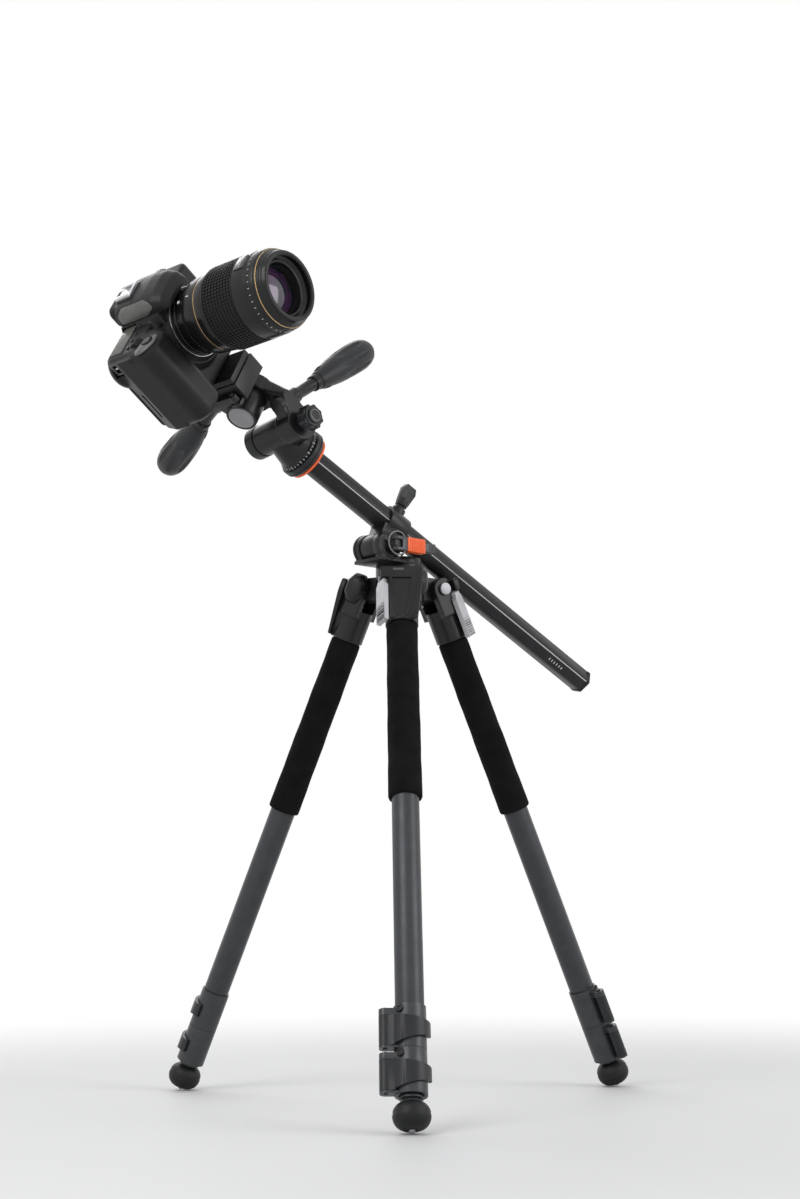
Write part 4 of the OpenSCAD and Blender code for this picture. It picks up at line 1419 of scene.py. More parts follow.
    def _foot(self) -> None:
        """Turns the rubber foot, its spike and the rod above it."""
        body = f"{self.name}_lower_section"
        node = self._node("foot")
        low, high = self.place.extent(node)
        middle = (low.z + self.spike_l + high.z) / 2
        half = self.foot_h / 2
        r = (high.x - low.x) / 2
        bun = [(middle + half, 0.0)]
        for i in range(1, self.foot_steps):
            turn = math.pi * i / self.foot_steps
            seam = 0.5 if i == self.foot_steps // 2 - 1 else 0.0
            bun.append((middle + half * math.cos(turn), (r - seam) * math.sin(turn) ** self.foot_round))
        bun.append((middle - half, 0.0))
        work = Work.turned(f"{node}_bun", bun, 72)
        self.done(work, body, self.place, Paint.RUBBER, node, angle=45)
        root = middle - half + 1.5
        spike = [(root, 0.0), (root, 2.9), (low.z + 1.2, 2.7), (low.z, 1.4), (low.z, 0.0)]
        work = Work.turned(f"{node}_spike", spike, 32, 0.3)
        self.done(work, body, self.place, Paint.STEEL, key=self.key)
        tube = self._node("lower_tube")
        low, high = self.place.extent(tube)
        stem, rod = self.stem_r, self.rod_r
        outline = [
            (low.z, 0.0), (low.z, 7.4), (low.z + 1.4, 7.6), (low.z + 2.2, stem), (low.z + 4.0, stem),
            (low.z + 4.6, rod), (low.z + 5.2, rod), (high.z, rod), (high.z, rod - self.wall),
            (low.z + 6.0, rod - self.wall), (low.z + 6.0, 0.0),
        ]
        work = Work.turned(f"{tube}_rod", outline, 72, 0.4)
        self.done(work, body, self.place, Paint.TUBE, tube, key=self.key)


# ---- canopy, turret and collar ------------------------------------------------------------------------


@dataclass
class Apex(Crew):
    """What joins the legs to the column: canopy, turret, tilt barrel, collar and their controls."""

    barrel_r: float = 15.0
    near_ring_in: float = 7.6
    far_ring_at: float = -16.6
    ring_w: float = 2.2
    tab_from: float = 12.0
    tab_to: float = 36.0
    ribs: int = 8
    tip_ribs: int = 3

    def build(self) -> None:
        """Builds the pieces from the canopy up."""
        floor = self.rig.floor
        work = Work.copy_of("canopy_casting", "canopy", floor).bevel(0.9, 3)
        self.done(work, "canopy", floor, Paint.CASTING, "canopy")
        work = Work.copy_of("hinge_bolts", "hinge_pins", floor).bevel(0.7, 3)
        self.done(work, "canopy", floor, Paint.STEEL, "hinge_pins")
        self._turret()
        self._tilt_lever()
        self._collar()

    def _turret(self) -> None:
        """Casts the turret and trims its barrel with rings."""
        place = self.rig.turret
        work = Work.copy_of("turret_casting", "turret", place).bevel(0.5, 2)
        self.done(work, "turret", place, Paint.CASTING, "turret")
        barrel = Place(Vector(self.rig.joints["column_tilt"]["pos_m"]), place.turn).turned("X", 90)
        ends = barrel.extent("turret")
        r = self.barrel_r
        for name, at in (("near_ring", ends[1].z - self.near_ring_in), ("far_ring", self.far_ring_at)):
            ring = pipe(name, at, at + self.ring_w, r + 0.7, r - 0.6, 0.5, 72)
            self.done(ring, "turret", barrel, Paint.CASTING)
        rim = pipe("barrel_rim", ends[1].z - 0.5, ends[1].z + 0.35, r - 2.2, r - 3.8, 0.3, 72)
        self.done(rim, "turret", barrel, Paint.PLATED)
        low = place.extent("turret")[0].z + 0.8
        neck = pipe("neck_ring", low, low + 6.2, 23.1, 21.9, 0.8)
        self.done(neck, "turret", place, Paint.TURRET)

    def _tilt_lever(self) -> None:
        """Forms the lever that frees the barrel: a grey fork, an orange ribbed tab and a grey tip."""
        place = Place(Vector(self.rig.joints["tilt_lever_flip"]["pos_m"]), self.rig.turret.turn)
        low, high = place.extent("tilt_lever")
        fork = Work.copy_of("tilt_lever_fork", "tilt_lever", place).slice((self.tab_from, 0, 0), (1, 0, 0))
        self.done(fork.bevel(0.6, 2), "tilt_lever", place, Paint.LOCK, "tilt_lever")
        tab = Work.box(
            "tilt_lever_tab", (self.tab_from - 0.4, low.y, low.z), (self.tab_to, high.y, high.z)
        ).bevel(1.3, 4)
        step = (self.tab_to - self.tab_from - 5) / self.ribs
        first = self.tab_from + 3
        rib = Work.box(
            "rib", (first, low.y - 0.5, low.z + 1.6), (first + step * 0.5, high.y + 0.5, high.z - 1.6)
        )
        rib.bevel(0.35, 2).row(self.ribs, (step, 0, 0))
        self.done(tab.join(rib), "tilt_lever", place, Paint.ORANGE)
        tip = Work.box("tilt_lever_tip", (self.tab_to - 0.5, -3.4, low.z + 2), (high.x, 3.0, high.z - 3))
        rib = Work.box("rib", (high.x - 9, -3.8, low.z + 4), (high.x - 8, 3.3, high.z - 5))
        tip.bevel(1.0, 3).join(rib.row(self.tip_ribs, (2.4, 0, 0)))
        self.done(tip, "tilt_lever", place, Paint.LOCK)

    def _collar(self) -> None:
        """Casts the collar round the column and the wing knob that clamps it."""
        place = self.rig.column
        work = Work.copy_of("collar_casting", "column_collar", place).bevel(0.7, 3)
        self.done(work, "column_collar", place, Paint.CASTING, "column_collar")
        work = Work.copy_of("collar_wing_knob", "collar_knob", place).bevel(1.0, 3)
        self.done(work, "collar_knob", place, Paint.HANDLE, "collar_knob")


@dataclass
class Column(Crew):
    """The six-sided column with its light line along a corner (partly a real line, partly painted highlight), its
    scale, its end cap and the orange ring.
    """

    flat: float = 12.0
    line_off: float = 5.6
    line_w: float = 1.1
    proud: float = 0.16
    bars: int = 6
    bar_step: float = 4.0
    bar_from_end: float = 40.0
    cap_l: float = 4.0
    orange_r: float = 23.4
    front_view: Point3 = (0.0, -1.0, -0.1)

    def build(self) -> None:
        """Builds the column and what it carries."""
        place = self.rig.head
        low, high = place.extent("column")
        work = Work.copy_of("column_tube", "column", place).bevel(0.5, 2)
        self.done(work, "column", place, Paint.COLUMN, "column", key="column")
        top = place.extent("column_ring")[0].z
        turn = self._face_turn(place)
        face = place.turned("Z", turn)
        # light strip along the corner of the face towards the front: partly a real light line, partly painted
        # highlight where the corner reflects the lamps
        line = Work.box(
            "column_line", (self.flat - 0.5, self.line_off, low.z + self.cap_l),
            (self.flat + self.proud, self.line_off + self.line_w, top),
        ).bevel(0.06, 1)
        self.done(line, "column", face, Paint.INLAY)
        at = low.z + self.bar_from_end
        bar = Work.box("column_scale", (self.flat - 0.5, -4.6, at), (self.flat + self.proud, 1.2, at + 1))
        bar.bevel(0.06, 1).row(self.bars, (0, 0, self.bar_step))
        self.done(bar, "column", face, Paint.MARK)
        corner = self.flat / math.cos(math.radians(30)) + 0.5
        sides = arc(0, 0, corner, turn + 30, turn + 330, 5)
        cap = Work.plate("column_cap", sides, low.z - 1.2, low.z + self.cap_l)
        self.done(cap.bevel(1.3, 4), "column", place, Paint.RUBBER)
        low, high = place.extent("column_ring")
        r, wide, top = (high.x - low.x) / 2, self.orange_r, high.z - 0.1
        outline = [
            (low.z, 12.6), (low.z - 0.8, r - 2.6), (low.z - 0.4, r - 1.4), (low.z + 1.2, r + 0.6),
            (high.z - 2.6, wide), (high.z - 0.3, wide), (top, wide - 0.6), (top, 5.0), (low.z, 5.0),
            (low.z, 12.6),
        ]
        self.done(Work.turned("orange_ring", outline, 96, 0.4), "column", place, Paint.ORANGE, "column_ring")

    def _face_turn(self, place: Place) -> float:
        """Returns how far the column's face towards the front is turned.

        Args:
            place: The column's frame.

        Returns:
            The angle of the face's middle from the frame's X, in degrees.
        """
        back = place.matrix.inverted()
        points = [back @ v.co for v in frame["nodes"]["column"].data.vertices]
        rim = max(math.hypot(p.x, p.y) for p in points)
        turns = [math.degrees(math.atan2(p.y, p.x)) for p in points if math.hypot(p.x, p.y) > rim - 0.05]
        first = min(t % 60 for t in turns) + 30
        return max((first + 60 * i for i in range(6)), key=lambda turn: self._facing(place, turn))

    def _facing(self, place: Place, turn: float) -> float:
        """Returns how much a face that is turned by an angle looks to the front."""
        return place.turned("Z", turn).axis(0).dot(Vector(self.front_view))


# ---- pan head -----------------------------------------------------------------------------------------


@dataclass
class Head(Crew):
    """The three-way head: pan base, body, yoke, clamp, caps, knob and its two handles."""

    ticks: int = 36
    knob_ring: float = 6.4
    grip_from: float = 56.0
    grip_to: float = 152.0
    flute_r: float = 6.4
    flute_off: float = 19.7
    flute_from: float = 70.0
    flute_l: float = 78.0
    flute_steps: int = 18
    flutes: int = 8
    thumb_ribs: int = 5
    scale_h: float = 9.7

    def build(self) -> None:
        """Builds the head from the column up."""
        self._pan_base()
        self._castings()
        self._roll_knob()
        self._tilt_cap()
        self._plate()
        self._handle("roll_handle", self.rig.roll_handle)
        self._handle("tilt_handle", self.rig.tilt_handle)

    def _pan_base(self) -> None:
        """Turns the base ring, with its groove, and the scale above it."""
        place = self.rig.head
        low, high = place.extent("pan_base")
        r = (high.x - low.x) / 2
        top = min(high.z, low.z + self.scale_h)
        z = low.z
        outline = [
            (z, 0.0), (z, r - 2.6), (z + 3.0, r - 0.1), (z + 4.4, r), (z + 4.7, r - 0.7), (z + 5.2, r - 0.7),
            (z + 5.5, r), (top - 0.5, r), (top, r - 0.6), (top, 0.0),
        ]
        work = Work.turned("pan_ring", outline, 96, 0.25)
        self.done(work, "column", place, Paint.HANDLE, "pan_base")
        outline = [(top - 1, 0.0), (top - 1, 5.0), (high.z, 5.0), (high.z, 0.0)]
        post = Work.turned("pan_post", outline, 48, 0.4)
        self.done(post, "column", place, Paint.STEEL)
        pan = self.rig.pan
        foot = pan.extent("pan_body")[0].z
        tick = Work.box("pan_scale", (r - 2.7, -0.25, foot + 0.8), (r - 2.38, 0.25, foot + 2.6))
        self.done(tick.round_about(self.ticks), "pan_body", pan, Paint.MARK)
        tick = Work.box("pan_scale_tens", (r - 2.7, -0.35, foot + 0.6), (r - 2.36, 0.35, foot + 3.6))
        self.done(tick.round_about(self.ticks // 3), "pan_body", pan, Paint.MARK)

    def _castings(self) -> None:
        """Casts the pan body, the yoke and the tilt clamp with soft inner corners."""
        place = self.rig.pan
        work = Work.copy_of("pan_casting", "pan_body", place).melt(0.75, 5).thin(0.4)
        self.done(work, "pan_body", place, Paint.CASTING, "pan_body")
        place = self.rig.roll
        work = Work.copy_of("yoke_casting", "roll_yoke", place).melt(0.75, 5).thin(0.4)
        self.done(work, "roll_yoke", place, Paint.CASTING, "roll_yoke")
        place = self.rig.tilt
        work = Work.copy_of("clamp_casting", "tilt_clamp", place).bevel(0.6, 3)
        self.done(work, "tilt_clamp", place, Paint.CASTING, "tilt_clamp")

    def _roll_knob(self) -> None:
        """Forms the ribbed knob with a ring set into its end."""
        place = self.rig.roll
        work = Work.copy_of("roll_knob_body", "roll_knob", place).bevel(0.7, 3)
        self.done(work, "roll_knob", place, Paint.HANDLE, "roll_knob")
        along = place.turned("Y", 90)
        end = along.extent("roll_knob")[1].z
        ring = pipe("roll_knob_ring", end - 0.6, end + 0.25, self.knob_ring, self.knob_ring - 1.3, 0.25, 64)
        self.done(ring, "roll_knob", along, Paint.PLATED)

    def _tilt_cap(self) -> None:
        """Turns the bright cap on the clamp, inside a dark rim."""
        place = self.rig.tilt
        along = place.turned("X", 90)
        low, high = along.extent("tilt_cap")
        r = (high.x - low.x) / 2
        outline = [
            (low.z, 0.0), (low.z, r - 0.2), (high.z - 0.7, r - 0.2), (high.z - 0.1, r - 0.9),
            (high.z, r - 1.4), (high.z - 0.25, r - 5.0), (high.z - 0.3, 0.0),
        ]
        work = Work.turned("tilt_cap_disc", outline, 96, 0.2)
        self.done(work, "tilt_clamp", along, Paint.CAP, "tilt_cap", key="tilt_cap")
        rim = pipe("tilt_cap_rim", low.z - 1.2, high.z - 0.2, r + 1.9, r - 0.1, 0.6)
        self.done(rim, "tilt_clamp", along, Paint.HANDLE)

    def _plate(self) -> None:
        """Forms the quick-release plate and the lever that frees it."""
        place = self.rig.tilt
        work = Work.copy_of("release_plate", "quick_plate", place).bevel(0.8, 3)
        self.done(work, "camera", place, Paint.HANDLE, "quick_plate")
        work = Work.copy_of("release_lever", "plate_lever", place).bevel(0.8, 3)
        self.done(work, "plate_lever", place, Paint.HANDLE, "plate_lever")

    def _handle(self, node: str, place: Place) -> None:
        """Turns a handle and cuts long flutes into its grip.

        Args:
            node: Name of the handle's node and body.
            place: Frame with its X along the handle.
        """
        along = place.turned("Y", 90)
        low, high = along.extent(node)
        back = high.z - self.grip_to
        neck = self.grip_from + back
        shaft = [
            (low.z, 0.0), (low.z, 6.3), (low.z + 0.6, 6.75), (low.z + 1.2, 6.75), (low.z + 1.6, 6.3),
            (neck - 6, 6.3), (neck - 5.4, 8.0), (neck, 8.2), (neck + 6, 8.2), (neck + 6, 0.0),
        ]
        self.done(Work.turned(f"{node}_shaft", shaft, 64, 0.3), node, along, Paint.COLUMN, node)
        wall = [
            (58.0, 0.0), (58.0, 7.8), (58.8, 8.9), (62.0, 9.7), (68.0, 10.8), (76.0, 12.2), (86.0, 13.7),
            (97.0, 15.0), (108.0, 15.8), (117.0, 16.0), (126.0, 16.0), (133.0, 15.6), (139.0, 14.6),
            (144.0, 12.9), (148.0, 10.2), (150.6, 6.8), (151.7, 3.4), (152.0, 0.0),
        ]
        grip = Work.turned(f"{node}_grip", [(z + back, r) for z, r in wall], 128)
        start = self.flute_from + back
        flute = [(start, 0.0)]
        for i in range(1, self.flute_steps):
            share = i / self.flute_steps
            flute.append((start + share * self.flute_l, self.flute_r * math.sin(math.pi * share) ** 0.6))
        flute.append((start + self.flute_l, 0.0))
        cutter = Work.turned("flute", flute, 28).shift(x=self.flute_off).round_about(self.flutes)
        grip.cut(cutter).bevel(0.5, 2, 20)
        self.done(grip, node, along, Paint.HANDLE, angle=50)
        rib = Work.box(f"{node}_ribs", (8.6, -2.6, 64.2 + back), (10.6, 2.6, 64.8 + back)).bevel(0.2, 1)
        rib.row(self.thumb_ribs, (0.32, 0.0, 1.7))
        self.done(rib.join(rib.twin().roll("Z", 180)), node, along, Paint.HANDLE)


# ---- camera -------------------------------------------------------------------------------------------


@dataclass
class Camera(Crew):
    """The camera body: shell, prism, shoe, dials, buttons, covers and the back."""

    rear: float = -31.0
    wall: float = 9.5
    grip: float = 31.5
    grip_w: float = 42.0
    near: float = -80.0
    far: float = 58.0
    top: float = 93.0
    axis_z: float = 59.2
    mount: float = 33.6
    voxel: float = 1.0
    trigger: Point2 = (22.5, -64.0)
    dish_turn: float = 56.0
    dial_teeth: int = 54
    dial_marks: int = 12
    wheel_teeth: int = 40
    top_buttons: int = 4
    rear_buttons: int = 4
    cover_at: float = -30.1
    arch_foot: float = 94.0
    arch_step: int = 12
    arches: tuple[Point3, ...] = (
        (-31.0, 25.5, 110.5), (-29.0, 27.5, 113.2), (-8.0, 28.0, 113.2), (6.0, 27.5, 113.2),
        (18.0, 26.0, 111.5), (26.5, 23.5, 107.0), (32.0, 19.0, 99.5),
    )

    def build(self) -> None:
        """Builds the camera's pieces."""
        self.place = self.rig.camera
        self._shell()
        self._mount()
        self._prism()
        self._display()
        self._trigger()
        self._shoe()
        self._dial()
        self._lug()
        self._back()
        self._sides()

    def _on(self, work: Work, paint: Paint, *replaced: str, angle: float = 35.0) -> None:
        """Finishes a piece of the camera's own body."""
        self.done(work, "camera", self.place, paint, *replaced, angle=angle)

    def _shell(self) -> None:
        """Moulds the shell and cuts its recesses."""
        low, high = (self.rear, self.near + 6), (self.wall, self.far)
        shell = Work.plate("camera_shell", slab(low, high, 8), 0, self.top).bevel(3.5, 3, 60)
        low, high = (-10, self.near), (self.grip, self.near + self.grip_w)
        grip = Work.plate("grip", slab(low, high, 16, 8), 0, self.top - 0.6).bevel(8, 5, 60)
        outline = [(-16, 0), (-16, 45), (-12, 43), (-3, self.mount + 1.5), (0, self.mount), (0, 0)]
        cone = Work.turned("cone", outline, 96).roll("Y", 90).shift(x=23.5, z=self.axis_z)
        cone.slice((0, 0, self.top - 0.6), (0, 0, 1)).slice((0, 0, 2), (0, 0, -1))
        back = self.rear + 2
        corners = [
            (back, -38, 85), (back, 42, 85), (21, -31, 85), (21, 31, 85),
            (back, -30, 97), (back, 33, 97), (19, -27, 97), (19, 27, 97),
        ]
        brow = Work.hull("brow", corners)
        outline = [(-26, -73), (-12, self.near), (4, self.near), (4, -60), (-26, -60)]
        cheek = Work.plate("cheek", outline, 2, self.top - 2)
        rest = Work.ball("thumb_rest", (-30, -60, 72), (10.5, 17, 20), 40)
        shell.join(grip, cone, brow, rest, cheek).melt(self.voxel, 10)
        dish = Work.ball("dish", (0, 0, 0), (13.2, 8.6, 4.2), 48)
        shell.cut(
            dish.roll("Z", self.dish_turn).shift(19.2, -66.5, 94.2),
            Work.box("display", (-28.2, -68.5, 92.0), (-9.4, -23.5, 96)),
            Work.box("slot", (-20.6, -82, 18.5), (-16.8, -62, 49)),
            Work.box("lug", (-29.2, -78, 74), (-17.4, -70.0, 89.5)),
        )
        self._on(shell, Paint.BODY, "camera_body", angle=40)
        socket = pipe("screw_socket", 0.4, -0.35, 6.4, 3.3, 0.2, 48)
        self._on(socket, Paint.STEEL)

    def _mount(self) -> None:
        """Turns the mount rings and sets the lens release beside them."""
        lens = self.rig.lens
        for name, low, high, outer, inner, paint in (
            ("mount_ring", -2.6, -0.7, self.mount + 0.7, self.mount - 6, Paint.SHOE),
            ("mount_groove", -7.4, -6.6, self.mount + 5.5, self.mount - 3, Paint.GLOSS),
        ):
            self.done(pipe(name, low, high, outer, inner, 0.35), "camera", lens, paint)
        outline = [(-9, 0), (-9, 5.4), (-2.6, 5.2), (-1.8, 4.4), (-1.6, 0)]
        release = Work.turned("lens_release", outline, 48, 0.4).shift(y=41.0)
        self.done(release, "camera", lens, Paint.GLOSS)
        dot = Work.turned("mount_dot", [(-0.8, 0), (-0.8, 1.3), (0.2, 1.3), (0.3, 0)], 24, 0.15)
        dot.shift(x=-(self.mount - 1.8))
        self.done(dot, "camera", lens, Paint.MARK)

    def _prism(self) -> None:
        """Moulds the prism hump, its flash lid line and its side panels."""
        work = self._arch("prism_hood", 0.0).bevel(1.2, 2, 30).melt(0.8, 8)
        work.cut(Work.box("seam", (-7.4, -40, 109.2), (-6.9, 40, 120)))
        self._on(work, Paint.BODY, "prism_housing", angle=50)
        outline = [(-25, 98), (-26, 107), (-21, 111), (8, 111), (15, 108), (18, 103), (8, 98)]
        for side, name in ((-1, "prism_panel_near"), (1, "prism_panel_far")):
            panel = self._arch(name, 0.55)
            near, far = sorted((-side * 12, -side * 40))
            panel.keep(Work.plate("region", outline, near, far).bevel(2, 3, 30).roll("X", 90))
            self._on(panel.bevel(0.25, 2, 40), Paint.PANEL)

    def _arch(self, name: str, over: float) -> Work:
        """Stretches a skin over the prism's arches.

        Args:
            name: Name of the piece.
            over: How far it lies outside the housing.

        Returns:
            The piece.
        """
        points, foot = [], self.arch_foot
        for x, half, top in self.arches:
            for angle in range(0, 181, self.arch_step):
                c, s = math.cos(math.radians(angle)), math.sin(math.radians(angle))
                y = (half + over) * math.copysign(abs(c) ** 0.62, c)
                points.append((x, y, foot + (top + over * 0.4 - foot) * s**0.5))
        return Work.hull(name, points)

    def _display(self) -> None:
        """Sets the display into the top, with a row of buttons before it."""
        outline = slab((-28.0, -68.3), (-9.6, -23.7), 2.4)
        self._on(Work.plate("display_frame", outline, 91.9, 93.5).bevel(0.4, 2), Paint.GLOSS)
        outline = slab((-26.6, -66.6), (-11.0, -25.4), 1.6)
        self._on(Work.plate("display_glass", outline, 93.0, 93.9).bevel(0.35, 2), Paint.PANEL)
        outline = [(92.4, 0), (92.4, 1.9), (93.9, 1.9), (94.2, 1.2), (94.3, 0)]
        button = Work.turned("top_buttons", outline, 28, 0.25).shift(x=-4.6, y=-63)
        self._on(button.row(self.top_buttons, (0, 10.4, 0)), Paint.GLOSS)

    def _trigger(self) -> None:
        """Turns the front wheel, the dish above it and the shutter button in the dish."""
        x, y = self.trigger
        wheel = Work.turned("front_wheel", [(-4.5, 0), (-4.5, 7.4), (4.5, 7.4), (4.5, 0)], 64, 0.4)
        tooth = Work.box("tooth", (7.1, -0.35, -4.0), (7.9, 0.35, 4.0)).round_about(self.wheel_teeth)
        wheel.join(tooth).roll("X", 90).shift(x=5.5, y=-60, z=88.0)
        self._on(wheel, Paint.RUBBER)
        rest = Work.ball("shutter_rest", (0, 0, 0), (14.2, 9.0, 2.6), 48)
        rest.roll("Z", self.dish_turn).shift(20.2, -66.2, 91.9)
        well = Work.turned("well", [(80, 0), (80, 6.1), (99, 6.1), (99, 0)], 48).shift(x=x, y=y)
        self._on(rest.cut(well).bevel(0.3, 2, 50), Paint.DISH)
        low, high = self.place.extent("shutter_button")
        z = high.z
        outline = [(low.z, 0), (low.z, 4.8), (z - 0.8, 5.2), (z + 0.2, 4.7), (z + 0.4, 3.2), (z + 0.1, 0)]
        button = Work.turned("shutter_cap", outline, 48, 0.3).shift(x=x, y=y)
        self.done(button, "shutter_button", self.place, Paint.GLOSS, "shutter_button")

    def _shoe(self) -> None:
        """Forms the accessory shoe and the seat under it."""
        shoe = Work.copy_of("flash_shoe", "hot_shoe", self.place)
        self._on(shoe.bevel(0.3, 2), Paint.SHOE, "hot_shoe")
        low, high = self.place.extent("hot_shoe")
        outline = slab((low.x - 1, low.y - 2), (high.x + 1.5, high.y + 2), 2)
        seat = Work.plate("shoe_seat", outline, low.z - 0.4, low.z + 0.7)
        self._on(seat.bevel(0.3, 2), Paint.GLOSS)

    def _dial(self) -> None:
        """Turns the mode dial with its milled rim and its marks."""
        low, high = self.place.extent("mode_dial")
        spot = (low.x + high.x) / 2, (low.y + high.y) / 2
        r, base, top = (high.x - low.x) / 2, high.z - 7, high.z
        outline = [
            (base, 0), (base, r - 0.5), (top - 1.2, r - 0.5), (top - 0.5, r - 1.6), (top - 0.7, r - 2.2),
            (top - 0.7, 0),
        ]
        tooth = Work.box("tooth", (r - 0.8, -0.22, base + 0.8), (r, 0.22, top - 1.4))
        dial = Work.turned("mode_wheel", outline, 72, 0.2).join(tooth.round_about(self.dial_teeth))
        dial.shift(x=spot[0], y=spot[1])
        self.done(dial, "mode_dial", self.place, Paint.GLOSS, "mode_dial")
        mark = Work.box("mode_marks", (r - 4.4, -0.45, top - 0.9), (r - 2.7, 0.45, top - 0.5))
        mark.round_about(self.dial_marks).shift(x=spot[0], y=spot[1])
        self.done(mark, "mode_dial", self.place, Paint.MARK)

    def _lug(self) -> None:
        """Sets the strap lug into its recess: a bright frame and a dark bar."""
        ring = Work.plate("lug_frame", slab((-28.6, 75), (-18.0, 89), 2.0), 0, 1.6)
        ring.cut(Work.plate("hole", slab((-26.4, 77.4), (-20.2, 86.6), 1.2), -1, 3)).bevel(0.4, 2)
        ring.roll("X", 90).shift(y=-72.2)
        self._on(ring, Paint.PLATED)
        bar = Work.turned("lug_bar", [(-5.0, 0), (-5.0, 1.3), (5.0, 1.3), (5.0, 0)], 24, 0.4)
        bar.roll("Y", 90).shift(x=-23.3, y=-71.6, z=82)
        self._on(bar, Paint.SHOE)

    def _back(self) -> None:
        """Fits the back: its cover, screen, wheel, buttons and the eyecup."""
        cover = Work.plate("back_cover", slab((-56, 2.0), (71, 91.0), 7, 8), 0, 3.4).bevel(1.6, 4)
        seat = Work.plate("seat", slab((-17.6, 87), (17.6, 110.8), 5), 0, 6)
        self._backward(cover, self.cover_at).join(self._backward(seat, self.cover_at))
        self._on(cover, Paint.REAR, "rear_cover")
        face = self.rear - 2.5
        for name, outline, proud, paint in (
            ("screen", slab((-24, 14), (36, 62), 3), 0.5, Paint.GLOSS),
            ("screen_glass", slab((-22, 16), (34, 60), 2), 0.9, Paint.SCREEN),
        ):
            piece = Work.plate(name, outline, 0, proud + 0.6).bevel(0.3, 2)
            self._on(self._backward(piece, face + 0.6), paint)
        outline = [
            (-1, 0), (-1, 13.5), (1.2, 13.5), (1.9, 12), (1.2, 8), (0.8, 7), (1.4, 5.5), (1.6, 0),
        ]
        wheel = Work.turned("rear_wheel", outline, 72, 0.3)
        self._on(wheel.roll("Y", -90).shift(x=face + 0.2, y=-54, z=40), Paint.RUBBER)
        outline = [(-1, 0), (-1, 2.4), (0.8, 2.4), (1.2, 1.6), (1.3, 0)]
        button = Work.turned("rear_buttons", outline, 32, 0.25)
        button.roll("Y", -90).shift(x=face + 0.1, y=44, z=22).row(self.rear_buttons, (0, 0, 10))
        self._on(button, Paint.GLOSS)
        cup = Work.plate("eyecup", slab((-17.6, 88.4), (17.6, 110.8), 7), 0, 6.4)
        cup.cut(Work.plate("hole", slab((-11, 92.5), (11, 106.5), 3), -1, 9)).bevel(1.6, 4)
        self._on(self._backward(cup, self.place.extent("rear_cover")[0].x + 6.3), Paint.RUBBER)
        pane = Work.box("eyepiece_glass", (-38.6, -10.8, 92.8), (-37.8, 10.8, 106.2)).bevel(0.2, 1)
        self._on(pane, Paint.SCREEN)

    @staticmethod
    def _backward(work: Work, x: float) -> Work:
        """Stands a flat piece up so that it faces the back.

        Args:
            work: The piece, lying on its back with its face up.
            x: Where its foot goes along the lens axis.

        Returns:
            The same piece.
        """
        return work.roll("X", 90).roll("Z", -90).shift(x=x)

    def _sides(self) -> None:
        """Fits the rubber door over the sockets on the far end."""
        door = Work.plate("socket_door", slab((-24, 18), (2, 78), 3), 0, 1.4).bevel(0.6, 2)
        door.roll("X", 90).shift(y=self.far + 0.7)
        self._on(door, Paint.RUBBER)


# ---- lens ---------------------------------------------------------------------------------------------


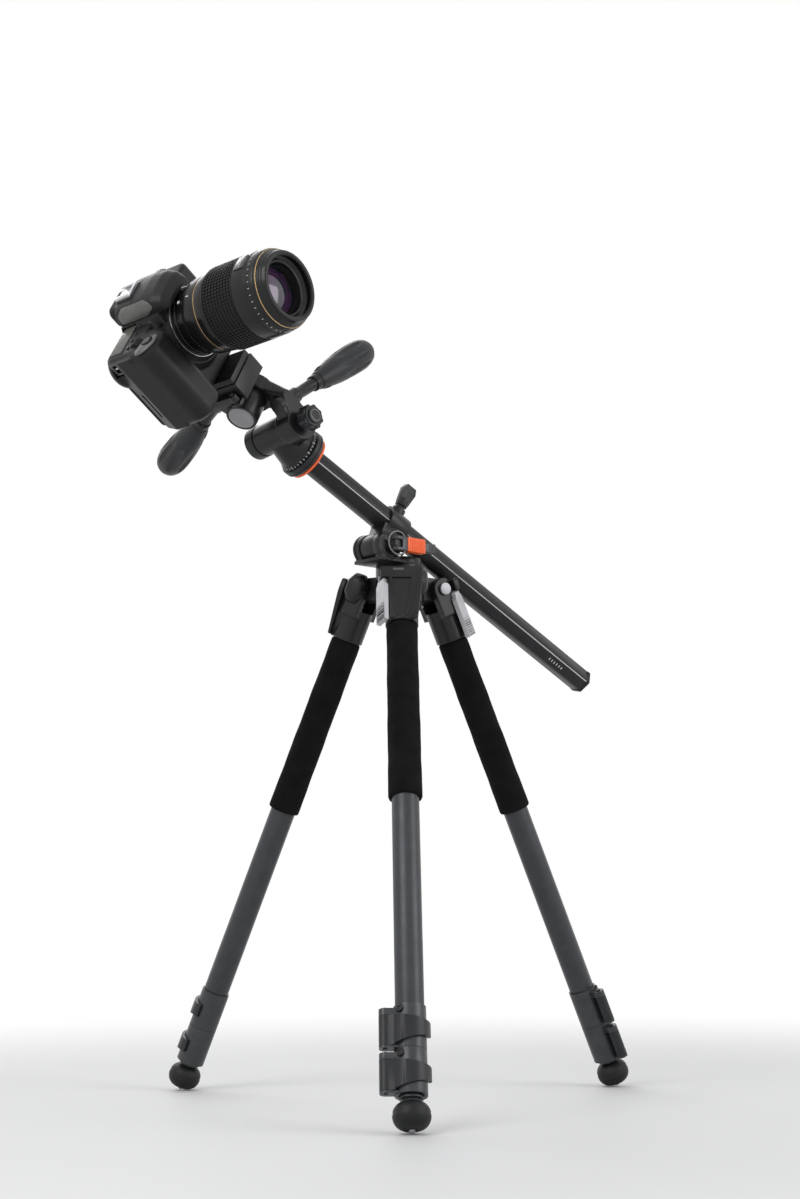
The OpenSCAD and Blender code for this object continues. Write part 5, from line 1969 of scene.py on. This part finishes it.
@dataclass
class Lens(Crew):
    """The close-up lens: barrel, focus ring, scale window, lines, filter ring and glass."""

    r: float = 40.2
    ring_from: float = 46.3
    ring_to: float = 83.7
    length: float = 121.0
    ribs: int = 76
    rows: int = 9
    lines: tuple[Point3, ...] = ((32.9, 37.25, 0.7), (111.4, 37.32, 0.75))
    steps: int = 144
    marks: int = 40
    index_turn: float = 200.0
    thread_r: float = 29.5
    thread_turns: int = 8
    thread_pitch: float = 0.62
    dome: float = 5.2
    dome_steps: int = 22

    def build(self) -> None:
        """Builds the lens from its mount forward."""
        self.place = self.rig.lens
        self._barrel()
        self._focus_ring()
        self._window()
        self._glass()

    def _on(self, work: Work, paint: Paint, *replaced: str, angle: float = 30.0) -> None:
        """Finishes a piece of the barrel."""
        self.done(work, "camera", self.place, paint, *replaced, angle=angle)

    def _barrel(self) -> None:
        """Turns the rear barrel, the front barrel and its stepped end."""
        end = self.length
        outline = [
            (0.0, 25.0), (0.0, 33.0), (4.0, 33.0), (4.4, 32.4), (5.2, 32.4), (5.6, 33.0), (13.0, 33.0),
            (14.2, 33.8), (19.0, 36.4), (20.6, 36.7), (32.0, 37.5), (32.4, 37.1), (34.2, 37.1), (34.6, 37.9),
            (43.6, 38.7), (44.0, 38.2), (45.2, 38.2), (45.6, 38.8), (46.1, 38.8), (46.1, 36.7), (84.0, 36.7),
            (84.0, 39.9), (84.6, 40.1), (99.6, 39.7), (100.2, 39.0), (101.4, 39.0), (101.8, 39.4),
            (109.4, 38.3), (110.4, 37.3), (112.2, 37.0), (112.8, 36.2), (114.2, 36.1), (114.8, 35.2),
            (116.6, 35.0), (117.2, 34.2), (120.2, 33.4), (end, 32.6), (end, 30.6), (end - 0.5, 29.6),
            (end - 6.0, 29.2), (end - 6.4, 28.0), (end - 9.0, 26.0), (end - 9.4, 24.6), (end - 13.0, 23.4),
            (end - 19.8, 22.7), (end - 20, 20.6), (end - 23, 20.5), (end - 25, 25.0), (0.0, 25.0),
        ]
        work = Work.turned("lens_shell", outline, self.steps, 0.22)
        self._on(work, Paint.LENS, "lens_barrel")
        for i, (at, radius, wide) in enumerate(self.lines):
            line = pipe(f"lens_line_{i + 1}", at, at + wide, radius, radius - 1.2, 0.1, self.steps)
            self._on(line, Paint.GOLD)
        mark = Work.box("lens_marks", (38.6, -0.22, 103.4), (39.22, 0.22, 105.2))
        self._on(mark.round_about(self.marks), Paint.MARK)
        mark = Work.box("lens_index", (36.6, -0.5, 23.0), (37.1, 0.5, 29.0)).join(
            Work.box("dot", (33.6, -1.4, 8.4), (33.1, 1.4, 11.2))
        )
        self._on(mark.roll("Z", self.index_turn), Paint.MARK)
        thread = pipe("filter_thread", end - 5.6, end - 5.2, self.thread_r, self.thread_r - 0.7, 0.1, 96)
        self._on(thread.row(self.thread_turns, (0, 0, self.thread_pitch)), Paint.LENS)

    def _focus_ring(self) -> None:
        """Turns the focus ring and sets its ribs in rows."""
        low, high = self.ring_from, self.ring_to
        ring = pipe("focus_sleeve", low, high, self.r - 0.95, self.r - 3.3, 0.3, self.steps)
        step = (high - low - 3.2) / self.rows
        at = low + 2.0
        rib = Work.box("rib", (self.r - 1.2, -1.15, at), (self.r, 1.15, at + step * 0.72))
        rib.bevel(0.22, 1).row(self.rows, (0, 0, step)).round_about(self.ribs)
        edge = pipe("edge", low, low + 1.2, self.r, self.r - 1.2, 0.2, self.steps)
        front = pipe("front", high - 1.0, high, self.r, self.r - 1.2, 0.2, self.steps)
        ring.join(rib, edge, front)
        self.done(ring, "focus_ring", self.place, Paint.LENS_GRIP, "focus_ring", angle=30)

    def _window(self) -> None:
        """Sets the scale window into the top of the barrel."""
        pane = Work.box("scale_window", (38.4, -9.0, 86.4), (40.25, 9.0, 97.6)).bevel(0.5, 2)
        pane.roll("Z", 180)
        self._on(pane, Paint.SCREEN)
        bars = Work.box("scale_bars", (40.2, -6.5, 90.0), (40.34, -6.0, 93.6)).row(6, (0, 2.5, 0))
        self._on(bars.roll("Z", 180), Paint.MARK)

    def _glass(self) -> None:
        """Turns the front glass."""
        low, high = self.place.extent("front_glass")
        r = (high.x - low.x) / 2 - 0.1
        foot = low.z + 1.5
        top = min(high.z, foot + self.dome)
        wall = [(low.z, 0.0), (low.z, r - 0.2), (foot, r)]
        for i in range(self.dome_steps):
            left = 1 - i / self.dome_steps
            wall.append((top - (top - foot) * left**2, r * left))
        wall.append((top, 0.0))
        self._on(Work.turned("front_element", wall, 120), Paint.GLASS, "front_glass", angle=60)


def main() -> None:
    """Builds the looks in order."""
    logging.basicConfig(level=logging.INFO, format="%(message)s")
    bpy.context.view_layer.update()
    rig, paints = Rig(), Paints()
    Studio().build()
    slots = {s["node"]: s["material_slot"] for s in frame["record"]["subparts"]}
    by_slot = {p.finish.slot: p for p in reversed(Paint)}
    crew = Crew(rig, paints)
    for node in frame["nodes"]:
        crew.dress(node, by_slot.get(slots[node], Paint.GLOSS))
    for name in LEGS:
        Leg(rig, paints, name).build()
    Apex(rig, paints).build()
    Column(rig, paints).build()
    Head(rig, paints).build()
    Camera(rig, paints).build()
    Lens(rig, paints).build()
    clear()


if __name__ == "__main__":
    main()
